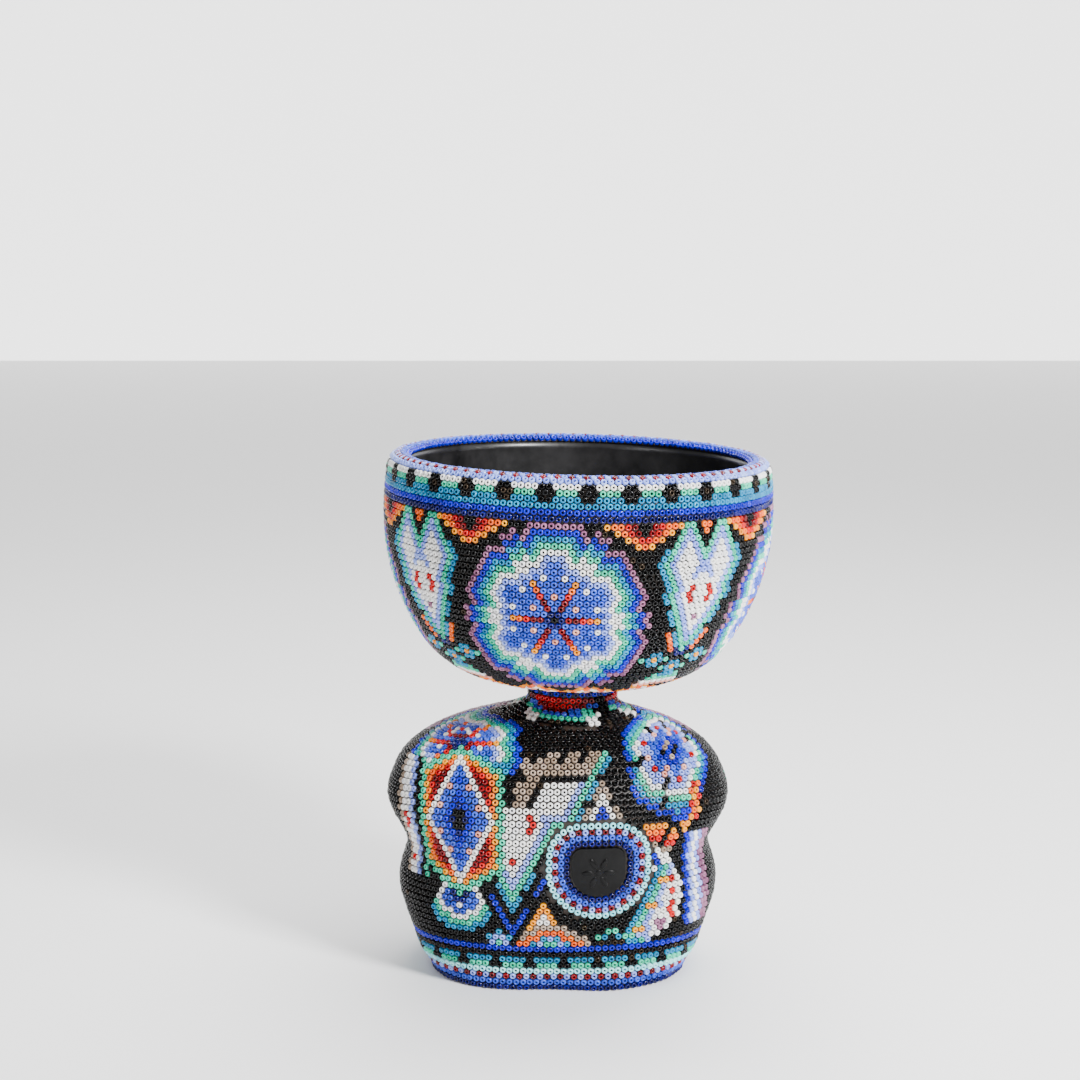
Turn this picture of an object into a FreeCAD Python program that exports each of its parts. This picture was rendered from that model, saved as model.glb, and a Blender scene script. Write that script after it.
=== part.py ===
import FreeCAD, Part
import math
import os

import Sketcher

# Beaded seated figure with a bowl for a head.
#
# A hollow clay figure carries a clay bowl on its neck. Both wear a thin coat of wax, and glass beads
# stand in the wax side by side, one motif or row band beside the next. Each band or motif of beads is
# one panel here: a solid as thick as the beads stand proud of the wax.
#
# Frame: +Z up, the figure's back faces -Y, origin on the table under the middle of the whole object.
# Everything is in millimetres.

V = FreeCAD.Vector

# name of the size, its value in millimetres (or degrees, or a count), and what it is
SIZES = [
    # coats
    ("wax_thickness", 0.8, "wax between the clay and the beads"),
    ("bead_height", 1.3, "how far the beads stand out of the wax"),
    ("row_pitch", 1.85, "one row of beads to the next, measured upright"),
    ("skirt_gap", 0.3, "bare clay between the table and the wax"),
    # bowl, outside of the clay
    ("bowl_radius", 60.3, "bowl, widest radius of the clay"),
    ("bowl_widest_level", 149.5, "height of the widest circle"),
    ("bowl_foot_level", 98.1, "height of the underside of the clay"),
    ("bowl_shoulder_arc", 132.0, "arc radius from the widest circle up to the lip"),
    ("bowl_side_arc", 68.0, "arc radius from the widest circle down the side"),
    ("bowl_foot_arc", 30.0, "arc radius between the side and the flat foot"),
    ("bowl_lip_inset", 3.3, "crest of the lip, in from the widest circle"),
    ("bowl_wall", 5.0, "wall of the bowl, and the rounding of its lip"),
    ("bowl_lip_turn", 142.0, "angle at which the coats end inside the lip"),
    ("bowl_lean", 1.3, "lean of the bowl to the right, in degrees"),
    # joint between the neck and the bowl
    ("spigot_radius", 7.0, "peg under the bowl"),
    ("spigot_length", 8.0, "length of the peg"),
    ("spigot_clearance", 1.2, "all round the peg, in the hole down the neck"),
    ("lute_seam", 1.0, "slip between the top of the neck and the bowl"),
    # figure, outside of the clay
    ("body_shift", -6.4, "middle of the body, left of the middle of the bowl"),
    ("section_step", 8.0, "the most from one section of the figure to the next"),
    ("figure_wall", 4.5, "wall of the figure"),
    ("figure_floor", 5.0, "floor of the figure"),
    ("vent_radius", 5.0, "firing vent in the floor"),
    ("neck_radius", 11.9, "outside of the neck"),
    ("base_half_width", 40.0, "half width on the table"),
    ("base_back", 31.0, "reach to the back on the table"),
    ("base_front", 34.0, "reach to the front on the table"),
    ("plinth_level", 14.0, "height of the top of the base border"),
    ("plinth_half_width", 45.8, "half width there"),
    ("plinth_back", 32.5, "reach to the back there"),
    ("plinth_front", 41.0, "reach to the front there"),
    ("hip_level", 30.0, "height of the hips"),
    ("hip_half_width", 50.0, "half width there"),
    ("hip_back", 36.0, "reach to the back there"),
    ("hip_front", 45.0, "reach to the front there"),
    ("waist_level", 42.5, "height of the pinch under the elbows"),
    ("waist_half_width", 47.2, "half width there"),
    ("waist_back", 37.5, "reach to the back there"),
    ("waist_front", 44.5, "reach to the front there"),
    ("elbow_level", 58.0, "height of the elbows"),
    ("elbow_half_width", 53.6, "half width there"),
    ("elbow_back", 37.0, "reach to the back there"),
    ("elbow_front", 43.5, "reach to the front there"),
    ("shoulder_level", 69.5, "height of the round of the shoulders"),
    ("shoulder_half_width", 49.0, "half width there"),
    ("shoulder_back", 32.5, "reach to the back there"),
    ("shoulder_front", 39.5, "reach to the front there"),
    ("yoke_level", 77.5, "height of the shoulder tops"),
    ("yoke_half_width", 37.5, "half width there"),
    ("yoke_back", 26.0, "reach to the back there"),
    ("yoke_front", 31.5, "reach to the front there"),
    ("throat_level", 83.0, "height where the neck starts to flare"),
    ("throat_radius", 20.5, "radius there"),
    ("collar_level", 87.5, "height of the bottom of the neck"),
    ("collar_radius", 13.2, "radius there"),
    # outlines of the bead motifs on the bowl
    ("flower_circumradius", 27.5, "hexagon round a bowl flower, middle to corner"),
    ("flower_azimuth", -7.4, "how far the back flower is turned from the middle of the back"),
    ("flower_level", 124.5, "height of the middle of a bowl flower"),
    ("flower_droop", 18.0, "how far the bowl faces down there"),
    ("bowl_deer_turn", 45.0, "how far a bowl deer head is turned from a bowl flower"),
    ("deer_length", 42.0, "bowl deer head, ear tips to chin"),
    ("deer_width", 27.0, "bowl deer head, across the cheeks"),
    ("deer_level", 129.0, "height of the middle of a bowl deer head"),
    ("deer_droop", 12.0, "how far the bowl faces down there"),
    ("scallop_radius", 6.3, "half round that hangs under the navy row"),
    ("scallop_spread", 22.4, "how far a scallop is turned from the nearest deer head"),
    ("rim_flower_rows", 3.0, "rows of beads in the band of small flowers"),
    ("sprig_radius", 5.0, "round flower under a bowl deer head"),
    ("sprig_level", 104.5, "height of its middle"),
    ("sprig_droop", 45.0, "how far the bowl faces down there"),
    ("foot_band_radius", 31.5, "outside of the band of zigzags round the foot"),
    ("foot_row_radius", 22.0, "outside of the last rows round the foot"),
    # bead motifs on the figure
    ("plaque_width", 17.0, "maker's plaque"),
    ("plaque_height", 15.6, "maker's plaque"),
    ("plaque_thickness", 2.6, "maker's plaque, from the clay outwards"),
    ("plaque_shift", 12.4, "middle of the plaque, right of the middle of the body"),
    ("plaque_level", 41.4, "height of the middle of the plaque"),
    ("plaque_gap", 0.4, "between the plaque and the first ring of beads"),
    ("front_flower_radius", 14.0, "round flower on the shins"),
    ("front_flower_level", 36.0, "height of its middle"),
    ("knee_flower_radius", 10.0, "round flower on each knee"),
    ("knee_flower_level", 62.0, "height of its middle"),
    ("knee_spread", 31.0, "how far each knee is turned from the middle of the front"),
    # modelling of the clay
    ("knee_bulge", 4.0, "how far each knee stands out"),
    ("front_cleft", 4.0, "depth of the hollow between the shins"),
    ("base_notch", 3.2, "depth of the notch at the back of the base"),
]

SHEET_NAME = "Sizes"
LIP_ROWS = ["cobalt", "periwinkle", "checks", "pale"]
RIM_BANDS = ["flowers", "turquoise", "cobalt", "navy"]
PLAQUE_RINGS = ["navy", "periwinkle", "checks", "pale"]
BORDER_ROWS = ["navy", "periwinkle", "checks", "pale", "mint", "turquoise", "black", "cobalt"]
SECTION_POINTS = 20
OUTSIDE = 90.0  # farther out than anything on the object
QUARTERS = ["back", "right", "front", "left"]
CORNERS = ["back_right", "front_right", "front_left", "back_left"]


def make_sheet(doc):
    """One cell per driving size, each with its own alias."""
    sheet = doc.addObject("Spreadsheet::Sheet", SHEET_NAME)
    for row, (name, value, meaning) in enumerate(SIZES, start=1):
        sheet.set("A%d" % row, name)
        sheet.set("B%d" % row, str(value))
        sheet.set("C%d" % row, meaning)
        sheet.setAlias("B%d" % row, name)
    doc.recompute()
    return sheet


DOC = FreeCAD.newDocument("BeadedFigure")
SHEET = make_sheet(DOC)


def size(name):
    """The value of one size in the sheet."""
    return float(getattr(SHEET, name))


def cell(name):
    """How an expression refers to one size in the sheet."""
    return "%s.%s" % (SHEET_NAME, name)


# ---------------------------------------------------------------- small helpers

SUBPARTS = []


def keep(item, label):
    """Give the object the name of a sub-part and put it on the list to be written."""
    item.Label = label
    SUBPARTS.append(item)
    return item


def cut(name, base, tool):
    item = DOC.addObject("Part::Cut", name)
    item.Base = base
    item.Tool = tool
    return item


def common(name, base, tool):
    item = DOC.addObject("Part::Common", name)
    item.Base = base
    item.Tool = tool
    return item


def fuse(name, items):
    item = DOC.addObject("Part::MultiFuse", name)
    item.Shapes = items
    return item


def cylinder(name, radius, height, level):
    """An upright cylinder on the Z axis."""
    item = DOC.addObject("Part::Cylinder", name)
    drive(item, "Radius", radius)
    drive(item, "Height", height)
    drive(item, "Placement.Base.z", level)
    return item


def feature(name, shape):
    """A helper solid worked out with Part's functions."""
    item = DOC.addObject("Part::Feature", name)
    item.Shape = shape
    return item


def extruded(name, outline, direction, reach):
    """An outline pushed along a direction."""
    item = DOC.addObject("Part::Extrusion", name)
    item.Base = feature(name + "_outline", outline)
    item.DirMode = "Custom"
    item.Dir = direction
    item.LengthFwd = reach
    item.Solid = True
    return item


def drive(item, prop, value):
    """Set a property from an expression, or from a number worked out here."""
    if isinstance(value, str):
        item.setExpression(prop, value)
    elif prop == "Placement.Base.z":
        item.Placement.Base.z = value
    else:
        setattr(item, prop, value)


def closed_polygon(points):
    return Part.makePolygon(list(points) + [points[0]])


# ---------------------------------------------------------------- bowl

def bowl_guess():
    """First places of the arcs of the clay's outside: centre, radius, start and end angle."""
    radius = size("bowl_radius")
    level = size("bowl_widest_level")
    rounding = size("bowl_wall") / 2
    shoulder = size("bowl_shoulder_arc")
    side = size("bowl_side_arc")
    foot = size("bowl_foot_arc")
    lip_x = radius - size("bowl_lip_inset")
    turn = math.asin((level - size("bowl_foot_level") - foot) / (side - foot))
    rise = math.acos((lip_x - radius + shoulder) / (shoulder - rounding))
    lip_z = level + (shoulder - rounding) * math.sin(rise)
    foot_x = radius - side + (side - foot) * math.cos(turn)
    foot_z = level - (side - foot) * math.sin(turn)
    coat_end = math.radians(size("bowl_lip_turn"))
    return {
        "shoulder": (radius - shoulder, level, shoulder, 0.0, rise),
        "side": (radius - side, level, side, -turn, 0.0),
        "foot": (foot_x, foot_z, foot, -math.pi / 2, -turn),
        "lip": (lip_x, lip_z, rounding, rise, math.pi + rise),
        "coat_lip": (lip_x, lip_z, rounding, rise, coat_end),
    }


def arc_of(place, offset):
    x, z, radius, start, end = place
    circle = Part.Circle(V(x, z, 0), V(0, 0, 1), radius + offset)
    return Part.ArcOfCircle(circle, start, end)


def bowl_wall_body(name, coats):
    """A turned wall. The clay, with no coats, reaches from its outside to its inside. The envelope of a
    coat reaches from its own outside to the middle of the wall, and ends part way round the lip."""
    body = DOC.addObject("PartDesign::Body", name)
    sketch = body.newObject("Sketcher::SketchObject", name + "_profile")
    plane = [item for item in body.Origin.OriginFeatures if item.Role == "XZ_Plane"][0]
    sketch.AttachmentSupport = (plane, [""])
    sketch.MapMode = "FlatFace"

    grow = sum(size(coat) for coat in coats)
    outwards = "(" + " + ".join([cell(coat) for coat in coats] or ["0"]) + ") * 1 mm"
    depth = size("bowl_wall") / 2 if coats else size("bowl_wall")
    places = bowl_guess()
    foot_x, foot_z, foot_r = places["foot"][:3]
    lip_x, lip_z, lip_r = places["lip"][:3]
    bottom = foot_z - foot_r - grow
    floor = foot_z - foot_r + depth

    def arc(which, shift):
        return sketch.addGeometry(arc_of(places[which], shift), False)

    def line(x1, z1, x2, z2):
        return sketch.addGeometry(Part.LineSegment(V(x1, z1, 0), V(x2, z2, 0)), False)

    def rule(*what):
        return sketch.addConstraint(Sketcher.Constraint(*what))

    def driven(expression, *what):
        sketch.setExpression("Constraints[%d]" % rule(*what), expression)

    foot_line = line(0, bottom, foot_x, bottom)
    foot = arc("foot", grow)
    side = arc("side", grow)
    shoulder = arc("shoulder", grow)
    lip = arc("coat_lip" if coats else "lip", grow)
    inner_shoulder = arc("shoulder", -depth)
    inner_side = arc("side", -depth)
    inner_foot = arc("foot", -depth)
    floor_line = line(foot_x, floor, 0, floor)
    axis_line = line(0, floor, 0, bottom)

    # the outside, from the foot up over the lip: each piece runs smoothly into the next
    rule("Tangent", foot_line, 2, foot, 1)
    rule("Tangent", foot, 2, side, 1)
    rule("Tangent", shoulder, 2, lip, 1)
    rule("Coincident", side, 2, shoulder, 1)
    rule("Horizontal", side, 3, side, 2)
    rule("Horizontal", shoulder, 3, side, 2)
    rule("Horizontal", foot_line)
    rule("PointOnObject", foot_line, 1, -2)
    # the inside, about the same centres
    rule("Coincident", inner_shoulder, 3, shoulder, 3)
    rule("Coincident", inner_side, 3, side, 3)
    rule("Coincident", inner_foot, 3, foot, 3)
    rule("Coincident", inner_side, 2, inner_shoulder, 1)
    rule("Horizontal", inner_side, 3, inner_side, 2)
    rule("Tangent", inner_side, 1, inner_foot, 2)
    rule("Tangent", inner_foot, 1, floor_line, 1)
    rule("PointOnObject", floor_line, 2, -2)
    rule("Coincident", axis_line, 1, floor_line, 2)
    rule("Coincident", axis_line, 2, foot_line, 1)
    # the lip: a coat ends on a line from the middle of the rounding
    if coats:
        turn = math.radians(size("bowl_lip_turn"))
        reach = lip_r + grow
        closing = line(lip_x, lip_z, lip_x + reach * math.cos(turn), lip_z + reach * math.sin(turn))
        rule("Coincident", closing, 1, lip, 3)
        rule("Coincident", closing, 2, lip, 2)
        rule("Coincident", inner_shoulder, 2, lip, 3)
        driven(cell("bowl_lip_turn") + " * 1 deg", "Angle", closing, turn)
    else:
        rule("Tangent", inner_shoulder, 2, lip, 2)

    widest = size("bowl_radius") + grow
    driven(cell("bowl_radius") + " * 1 mm + " + outwards, "DistanceX", -1, 1, side, 2, widest)
    driven(cell("bowl_widest_level") + " * 1 mm",
           "DistanceY", -1, 1, side, 2, size("bowl_widest_level"))
    driven(cell("bowl_foot_level") + " * 1 mm - " + outwards,
           "DistanceY", -1, 1, foot_line, 1, bottom)
    driven("(" + cell("bowl_radius") + " - " + cell("bowl_lip_inset") + ") * 1 mm",
           "DistanceX", -1, 1, lip, 3, lip_x)
    driven(cell("bowl_side_arc") + " * 1 mm + " + outwards,
           "Radius", side, places["side"][2] + grow)
    driven(cell("bowl_shoulder_arc") + " * 1 mm + " + outwards,
           "Radius", shoulder, places["shoulder"][2] + grow)
    driven(cell("bowl_foot_arc") + " * 1 mm + " + outwards, "Radius", foot, foot_r + grow)
    driven(cell("bowl_wall") + " * 0.5 mm + " + outwards, "Radius", lip, lip_r + grow)
    DOC.recompute()

    turned = body.newObject("PartDesign::Revolution", name + "_turned")
    turned.Profile = (sketch, [""])
    turned.ReferenceAxis = (sketch, ["V_Axis"])
    turned.Angle = 360
    body.Tip = turned
    DOC.recompute()
    return body


def lean(item):
    """Set a piece of the bowl on the neck: it leans, and its widest circle stays over the origin."""
    item.Placement.Rotation.Axis = V(0, 1, 0)
    item.setExpression("Placement.Rotation.Axis.x", "0")
    item.setExpression("Placement.Rotation.Axis.y", "1")
    item.setExpression("Placement.Rotation.Axis.z", "0")
    angle = cell("bowl_lean")
    item.setExpression("Placement.Rotation.Angle", angle + " * 1 deg")
    item.setExpression(
        "Placement.Base.x", "-%s * 1 mm * sin(%s * 1 deg)" % (cell("bowl_widest_level"), angle)
    )
    item.setExpression(
        "Placement.Base.z", "%s * 1 mm * (1 - cos(%s * 1 deg))" % (cell("bowl_foot_level"), angle)
    )
    return item


def neck_middle():
    """Where the middle of the bowl's foot, and so of the neck, stands along X."""
    rise = size("bowl_widest_level") - size("bowl_foot_level")
    return -rise * math.sin(math.radians(size("bowl_lean")))


def bowl_radius_at(level):
    """Outside radius of the clay of the bowl's side at a height."""
    arc_radius = size("bowl_side_arc")
    drop = size("bowl_widest_level") - level
    return size("bowl_radius") - arc_radius + math.sqrt(arc_radius ** 2 - drop ** 2)


def facing(azimuth, droop, centre):
    """A placement whose +Z points out of the surface, +X to the right and +Y up, as one sees the
    surface from outside. The azimuth turns from the back to the right."""
    turn, dip = math.radians(azimuth), math.radians(droop)
    right = V(math.cos(turn), math.sin(turn), 0)
    out = V(math.sin(turn) * math.cos(dip), -math.cos(turn) * math.cos(dip), -math.sin(dip))
    up = out.cross(right)
    return FreeCAD.Placement(centre, FreeCAD.Rotation(right, up, out, "ZXY"))


def facing_bowl(azimuth, level, droop):
    """The same, a good way inside the bowl's surface, for tools that are pushed out through it."""
    turn, dip = math.radians(azimuth), math.radians(droop)
    radius = bowl_radius_at(level)
    depth = radius / 2
    inwards = V(-math.sin(turn) * math.cos(dip), math.cos(turn) * math.cos(dip), math.sin(dip))
    surface = V(radius * math.sin(turn), -radius * math.cos(turn), level)
    return facing(azimuth, droop, surface + inwards * depth)


def lip_wedge(name, start, end):
    """A turned wedge about the middle of the lip's rounding, between two angles."""
    lip_x, lip_z = bowl_guess()["lip"][:2]
    reach = 3 * size("bowl_wall")
    corners = [V(lip_x, 0, lip_z)]
    for angle in (start, (start + end) / 2, end):
        turn = math.radians(angle)
        corners.append(V(lip_x + reach * math.cos(turn), 0, lip_z + reach * math.sin(turn)))
    face = Part.Face(closed_polygon(corners))
    return feature(name, face.revolve(V(0, 0, 0), V(0, 0, 1), 360))


def build_bowl():
    """The clay bowl, its wax, and the rows and motifs of beads on it."""
    clay = bowl_wall_body("clay_wall", [])
    wax_envelope = bowl_wall_body("wax_envelope", ["wax_thickness"])
    bead_envelope = bowl_wall_body("bead_envelope", ["wax_thickness", "bead_height"])

    spigot = cylinder(
        "spigot",
        cell("spigot_radius"),
        cell("spigot_length") + " + " + cell("bowl_wall") + " / 2",
        cell("bowl_foot_level") + " - " + cell("spigot_length"),
    )
    bowl = keep(lean(fuse("bowl_with_spigot", [clay, spigot])), "clay_bowl")

    coats = "%s + %s" % (cell("wax_thickness"), cell("bead_height"))
    neck_hole = cylinder(
        "neck_hole",
        "%s + %s + %s" % (cell("neck_radius"), coats, cell("skirt_gap")),
        cell("bowl_foot_level"),
        0.0,
    )
    wax = cut("bowl_wax_coat", wax_envelope, fuse("clay_and_neck", [clay, neck_hole]))
    keep(lean(wax), "wax_bowl")
    shell = cut("bowl_bead_coat", bead_envelope, fuse("wax_and_neck", [wax_envelope, neck_hole]))

    # rows over the lip, from the inside outwards
    lip_z = bowl_guess()["lip"][1]
    bead_arc = size("bowl_wall") / 2 + size("wax_thickness") + size("bead_height") / 2
    step = math.degrees(size("row_pitch") / bead_arc)
    turn = size("bowl_lip_turn")
    inside = turn + step
    start = inside
    for number, colour in enumerate(LIP_ROWS, start=1):
        end = turn - number * step
        row = common("lip_" + colour, shell, lip_wedge("lip_wedge_" + colour, end, start))
        keep(lean(row), "beads_lip_%d_%s" % (number, colour))
        start = end
    below = cut("below_lip", shell, lip_wedge("lip_rows", start, inside))

    # bands under the lip: small flowers, then single rows
    top = lip_z + bead_arc * math.sin(math.radians(start))
    beyond = 2 * size("bowl_radius")
    counts = [size("rim_flower_rows")] + [1] * (len(RIM_BANDS) - 1)
    ceiling = top + size("bowl_wall")
    for number, (colour, count) in enumerate(zip(RIM_BANDS, counts), start=1):
        top -= count * size("row_pitch")
        slab = cylinder("rim_slab_" + colour, beyond, ceiling - top, top)
        band = common("rim_" + colour, below, slab)
        keep(lean(band), "beads_rim_%d_%s" % (number, colour))
        ceiling = top
    field = common("bowl_field", below, cylinder("rim_outside", beyond, top, 0.0))

    tools = []

    def motif(label, tool):
        tools.append(tool)
        return keep(lean(common(label + "_cut", field, tool)), label)

    # four flowers, and four deer heads between them
    for number, quarter in enumerate(QUARTERS):
        azimuth = size("flower_azimuth") + 90 * number
        prism = DOC.addObject("Part::Prism", "hexagon_" + quarter)
        prism.Polygon = 6
        prism.setExpression("Circumradius", cell("flower_circumradius"))
        prism.setExpression("Height", cell("bowl_radius"))
        prism.Placement = facing_bowl(azimuth, size("flower_level"), size("flower_droop"))
        motif("beads_flower_" + quarter, prism)
    for number, corner in enumerate(CORNERS):
        azimuth = size("flower_azimuth") + size("bowl_deer_turn") + 90 * number
        head = extruded("deer_" + corner, deer_outline(), V(0, 0, 1), size("bowl_radius"))
        head.Placement = facing_bowl(azimuth, size("deer_level"), size("deer_droop"))
        motif("beads_deer_" + corner, head)
        sprig = DOC.addObject("Part::Cylinder", "sprig_" + corner)
        sprig.setExpression("Radius", cell("sprig_radius"))
        sprig.setExpression("Height", cell("bowl_radius"))
        sprig.Placement = facing_bowl(azimuth, size("sprig_level"), size("sprig_droop"))
        motif("beads_sprig_" + corner, sprig)

    # eight half rounds that hang from the navy row, one each side of a deer head
    rounds = []
    for number in range(8):
        side = -1 if number % 2 else 1
        azimuth = (size("flower_azimuth") + size("bowl_deer_turn") + 90 * (number // 2)
                   + side * size("scallop_spread"))
        drum = DOC.addObject("Part::Cylinder", "scallop_%d" % number)
        drum.setExpression("Radius", cell("scallop_radius"))
        drum.setExpression("Height", cell("bowl_radius"))
        drum.Placement = facing_bowl(azimuth, top, 0)
        rounds.append(drum)
    motif("beads_scallops", fuse("scallop_drums", rounds))

    # rows round the foot
    foot_top = "%s + %s" % (cell("bowl_foot_level"), cell("bowl_wall"))
    inner = cylinder("foot_rows_drum", cell("foot_row_radius"), foot_top, 0.0)
    outer = cylinder("foot_band_drum", cell("foot_band_radius"), foot_top, 0.0)
    motif("beads_foot_rows", inner)
    motif("beads_foot_zigzag", cut("foot_band_ring", outer, inner))

    keep(lean(cut("bowl_rest", field, fuse("bowl_motifs", tools))), "beads_bowl_ground")
    return bowl


def deer_outline():
    """A heart-shaped head with two ears, chin down, about its own middle."""
    width, length = size("deer_width"), size("deer_length")
    half = [(0.0, -0.50), (0.28, -0.30), (0.50, 0.00), (0.38, 0.20), (0.44, 0.36),
            (0.33, 0.50), (0.15, 0.33)]
    right = [V(x * width, y * length, 0) for x, y in half]
    left = [V(-point.x, point.y, 0) for point in reversed(right[1:])]
    return closed_polygon(right + [V(0, 0.18 * length, 0)] + left)


# ---------------------------------------------------------------- figure

# Shape of the sections at each named level: how square they are, how far their middle has moved from
# the neck to the middle of the body, and the share of each hand-modelled feature.
#            square  shift  notch  cleft  knee
CHARACTER = {
    "base": (2.35, 1.00, 1.0, 0.6, 0.0),
    "plinth": (2.35, 1.00, 0.3, 1.0, 0.1),
    "hip": (2.30, 1.00, 0.0, 1.0, 0.4),
    "waist": (2.30, 1.00, 0.0, 0.8, 0.8),
    "elbow": (2.30, 1.00, 0.0, 0.2, 1.0),
    "shoulder": (2.25, 1.00, 0.0, 0.0, 0.9),
    "yoke": (2.15, 0.90, 0.0, 0.0, 0.3),
    "throat": (2.00, 0.50, 0.0, 0.0, 0.0),
    "collar": (2.00, 0.15, 0.0, 0.0, 0.0),
    "neck": (2.00, 0.00, 0.0, 0.0, 0.0),
}


def neck_top():
    return size("bowl_foot_level") - size("lute_seam")


def named_levels():
    """Height, half width, reach to the back and to the front, and character of each named level."""
    rows = []
    for level, character in CHARACTER.items():
        if level in ("throat", "collar"):
            radius = size(level + "_radius")
            place = (size(level + "_level"), radius, radius, radius)
        elif level == "neck":
            radius = size("neck_radius")
            place = (neck_top(), radius, radius, radius)
        else:
            height = 0.0 if level == "base" else size(level + "_level")
            place = (height, size(level + "_half_width"), size(level + "_back"),
                     size(level + "_front"))
        rows.append(place + character)
    return rows


def smooth_slopes(heights, values):
    """Slopes for a curve through the values that never swings past them."""
    steps = [(values[i + 1] - values[i]) / (heights[i + 1] - heights[i])
             for i in range(len(values) - 1)]
    slopes = [steps[0]]
    for before, after in zip(steps, steps[1:]):
        together = before * after > 0
        slopes.append(2 * before * after / (before + after) if together else 0.0)
    return slopes + [steps[-1]]


def smooth_curve(heights, values):
    """Value and slope of a smooth curve through the values, as a function of the height."""
    slopes = smooth_slopes(heights, values)

    def at(height):
        piece = 0
        while piece < len(heights) - 2 and height > heights[piece + 1]:
            piece += 1
        span = heights[piece + 1] - heights[piece]
        u = (height - heights[piece]) / span
        v0, v1 = values[piece], values[piece + 1]
        s0, s1 = slopes[piece] * span, slopes[piece + 1] * span
        value = ((2 * u ** 3 - 3 * u ** 2 + 1) * v0 + (u ** 3 - 2 * u ** 2 + u) * s0
                 + (3 * u ** 2 - 2 * u ** 3) * v1 + (u ** 3 - u ** 2) * s1)
        slope = ((6 * u ** 2 - 6 * u) * (v0 - v1) + (3 * u ** 2 - 4 * u + 1) * s0
                 + (3 * u ** 2 - 2 * u) * s1) / span
        return value, slope

    return at


def figure_curves():
    """One smooth curve over the height for each column of the named levels."""
    rows = named_levels()
    heights = [row[0] for row in rows]
    return heights, [smooth_curve(heights, column) for column in list(zip(*rows))[1:]]


def section_heights(heights):
    """The named levels, with more between them: closer where the figure curves in to the neck."""
    placed = [heights[0]]
    for low, high in zip(heights, heights[1:]):
        step = size("section_step") * (0.55 if low >= size("shoulder_level") else 1.0)
        count = max(1, math.ceil((high - low) / step))
        placed += [low + (high - low) * number / count for number in range(1, count + 1)]
    return placed


def hump(angle, middle, width):
    away = (angle - middle + 180.0) % 360.0 - 180.0
    return math.exp(-(away / width) ** 2)


def section_wire(height, curves, offset, level_end):
    """One closed section of the figure, set out square to the surface by the offset."""
    (half_width, widening), (back, back_slope), (front, front_slope) = [
        curve(height) for curve in curves[:3]
    ]
    square, shift, notch, cleft, knee = [curve(height)[0] for curve in curves[3:]]
    slope = 0.0 if level_end else (widening + back_slope + front_slope) / 3
    sideways = offset / math.hypot(1.0, slope)
    upwards = -slope * sideways
    middle = neck_middle() + (size("body_shift") - neck_middle()) * shift
    points = []
    for number in range(SECTION_POINTS):
        angle = 360.0 * number / SECTION_POINTS
        along, across = math.cos(math.radians(angle)), math.sin(math.radians(angle))
        depth = front if across > 0 else back
        x = math.copysign(abs(along) ** (2.0 / square), along) * (half_width + sideways)
        y = math.copysign(abs(across) ** (2.0 / square), across) * (depth + sideways)
        moved = (size("knee_bulge") * knee * (hump(angle, 60, 18) + hump(angle, 120, 18))
                 - size("front_cleft") * cleft * hump(angle, 90, 15)
                 - size("base_notch") * notch * hump(angle, 265, 15))
        grown = 1.0 + moved / math.hypot(x, y)
        points.append(V(middle + x * grown, y * grown, height + upwards))
    curve = Part.BSplineCurve()
    curve.interpolate(points, PeriodicFlag=True)
    return Part.Wire(curve.toShape())


def figure_loft(name, offset, low=0.0, high=None):
    """A solid through the figure's sections, each set out from the clay by the offset."""
    heights, curves = figure_curves()
    high = high or neck_top()
    inside = [height for height in section_heights(heights) if low < height < high]
    wires = [section_wire(low, curves, offset, True)]
    wires += [section_wire(height, curves, offset, False) for height in inside]
    wires.append(section_wire(high, curves, offset, True))
    return feature(name, Part.makeLoft(wires, True, False))


def facing_figure(azimuth, level):
    """A placement on the upright axis of the body, facing out."""
    return facing(azimuth, 0, V(size("body_shift"), 0, level))


def shield(half_width, top, bottom, corner):
    """A plaque's outline: flat top with rounded corners, and a round bottom."""
    sharp = corner * (1 - math.sqrt(0.5))
    start = V(-half_width, 0, 0)
    upper_left = V(-half_width, top - corner, 0)
    lid_left = V(-half_width + corner, top, 0)
    lid_right = V(half_width - corner, top, 0)
    upper_right = V(half_width, top - corner, 0)
    end = V(half_width, 0, 0)
    edges = [
        Part.makeLine(start, upper_left),
        Part.Arc(upper_left, V(-half_width + sharp, top - sharp, 0), lid_left).toShape(),
        Part.makeLine(lid_left, lid_right),
        Part.Arc(lid_right, V(half_width - sharp, top - sharp, 0), upper_right).toShape(),
        Part.makeLine(upper_right, end),
        Part.Arc(end, V(0, -bottom, 0), start).toShape(),
    ]
    return Part.Wire(edges)


def plaque_shield(grow):
    half_height = size("plaque_height") / 2
    return shield(size("plaque_width") / 2 + grow, half_height + grow, half_height + grow,
                  size("plaque_width") / 5 + grow)


def plaque_place():
    middle = V(size("body_shift") + size("plaque_shift"), 0, size("plaque_level"))
    return facing(0, 0, middle)


def back_outline(points):
    """An outline on the back, given as places right of the body's middle and above the table."""
    return closed_polygon([V(size("body_shift") + x, 0, z) for x, z in points])


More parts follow.
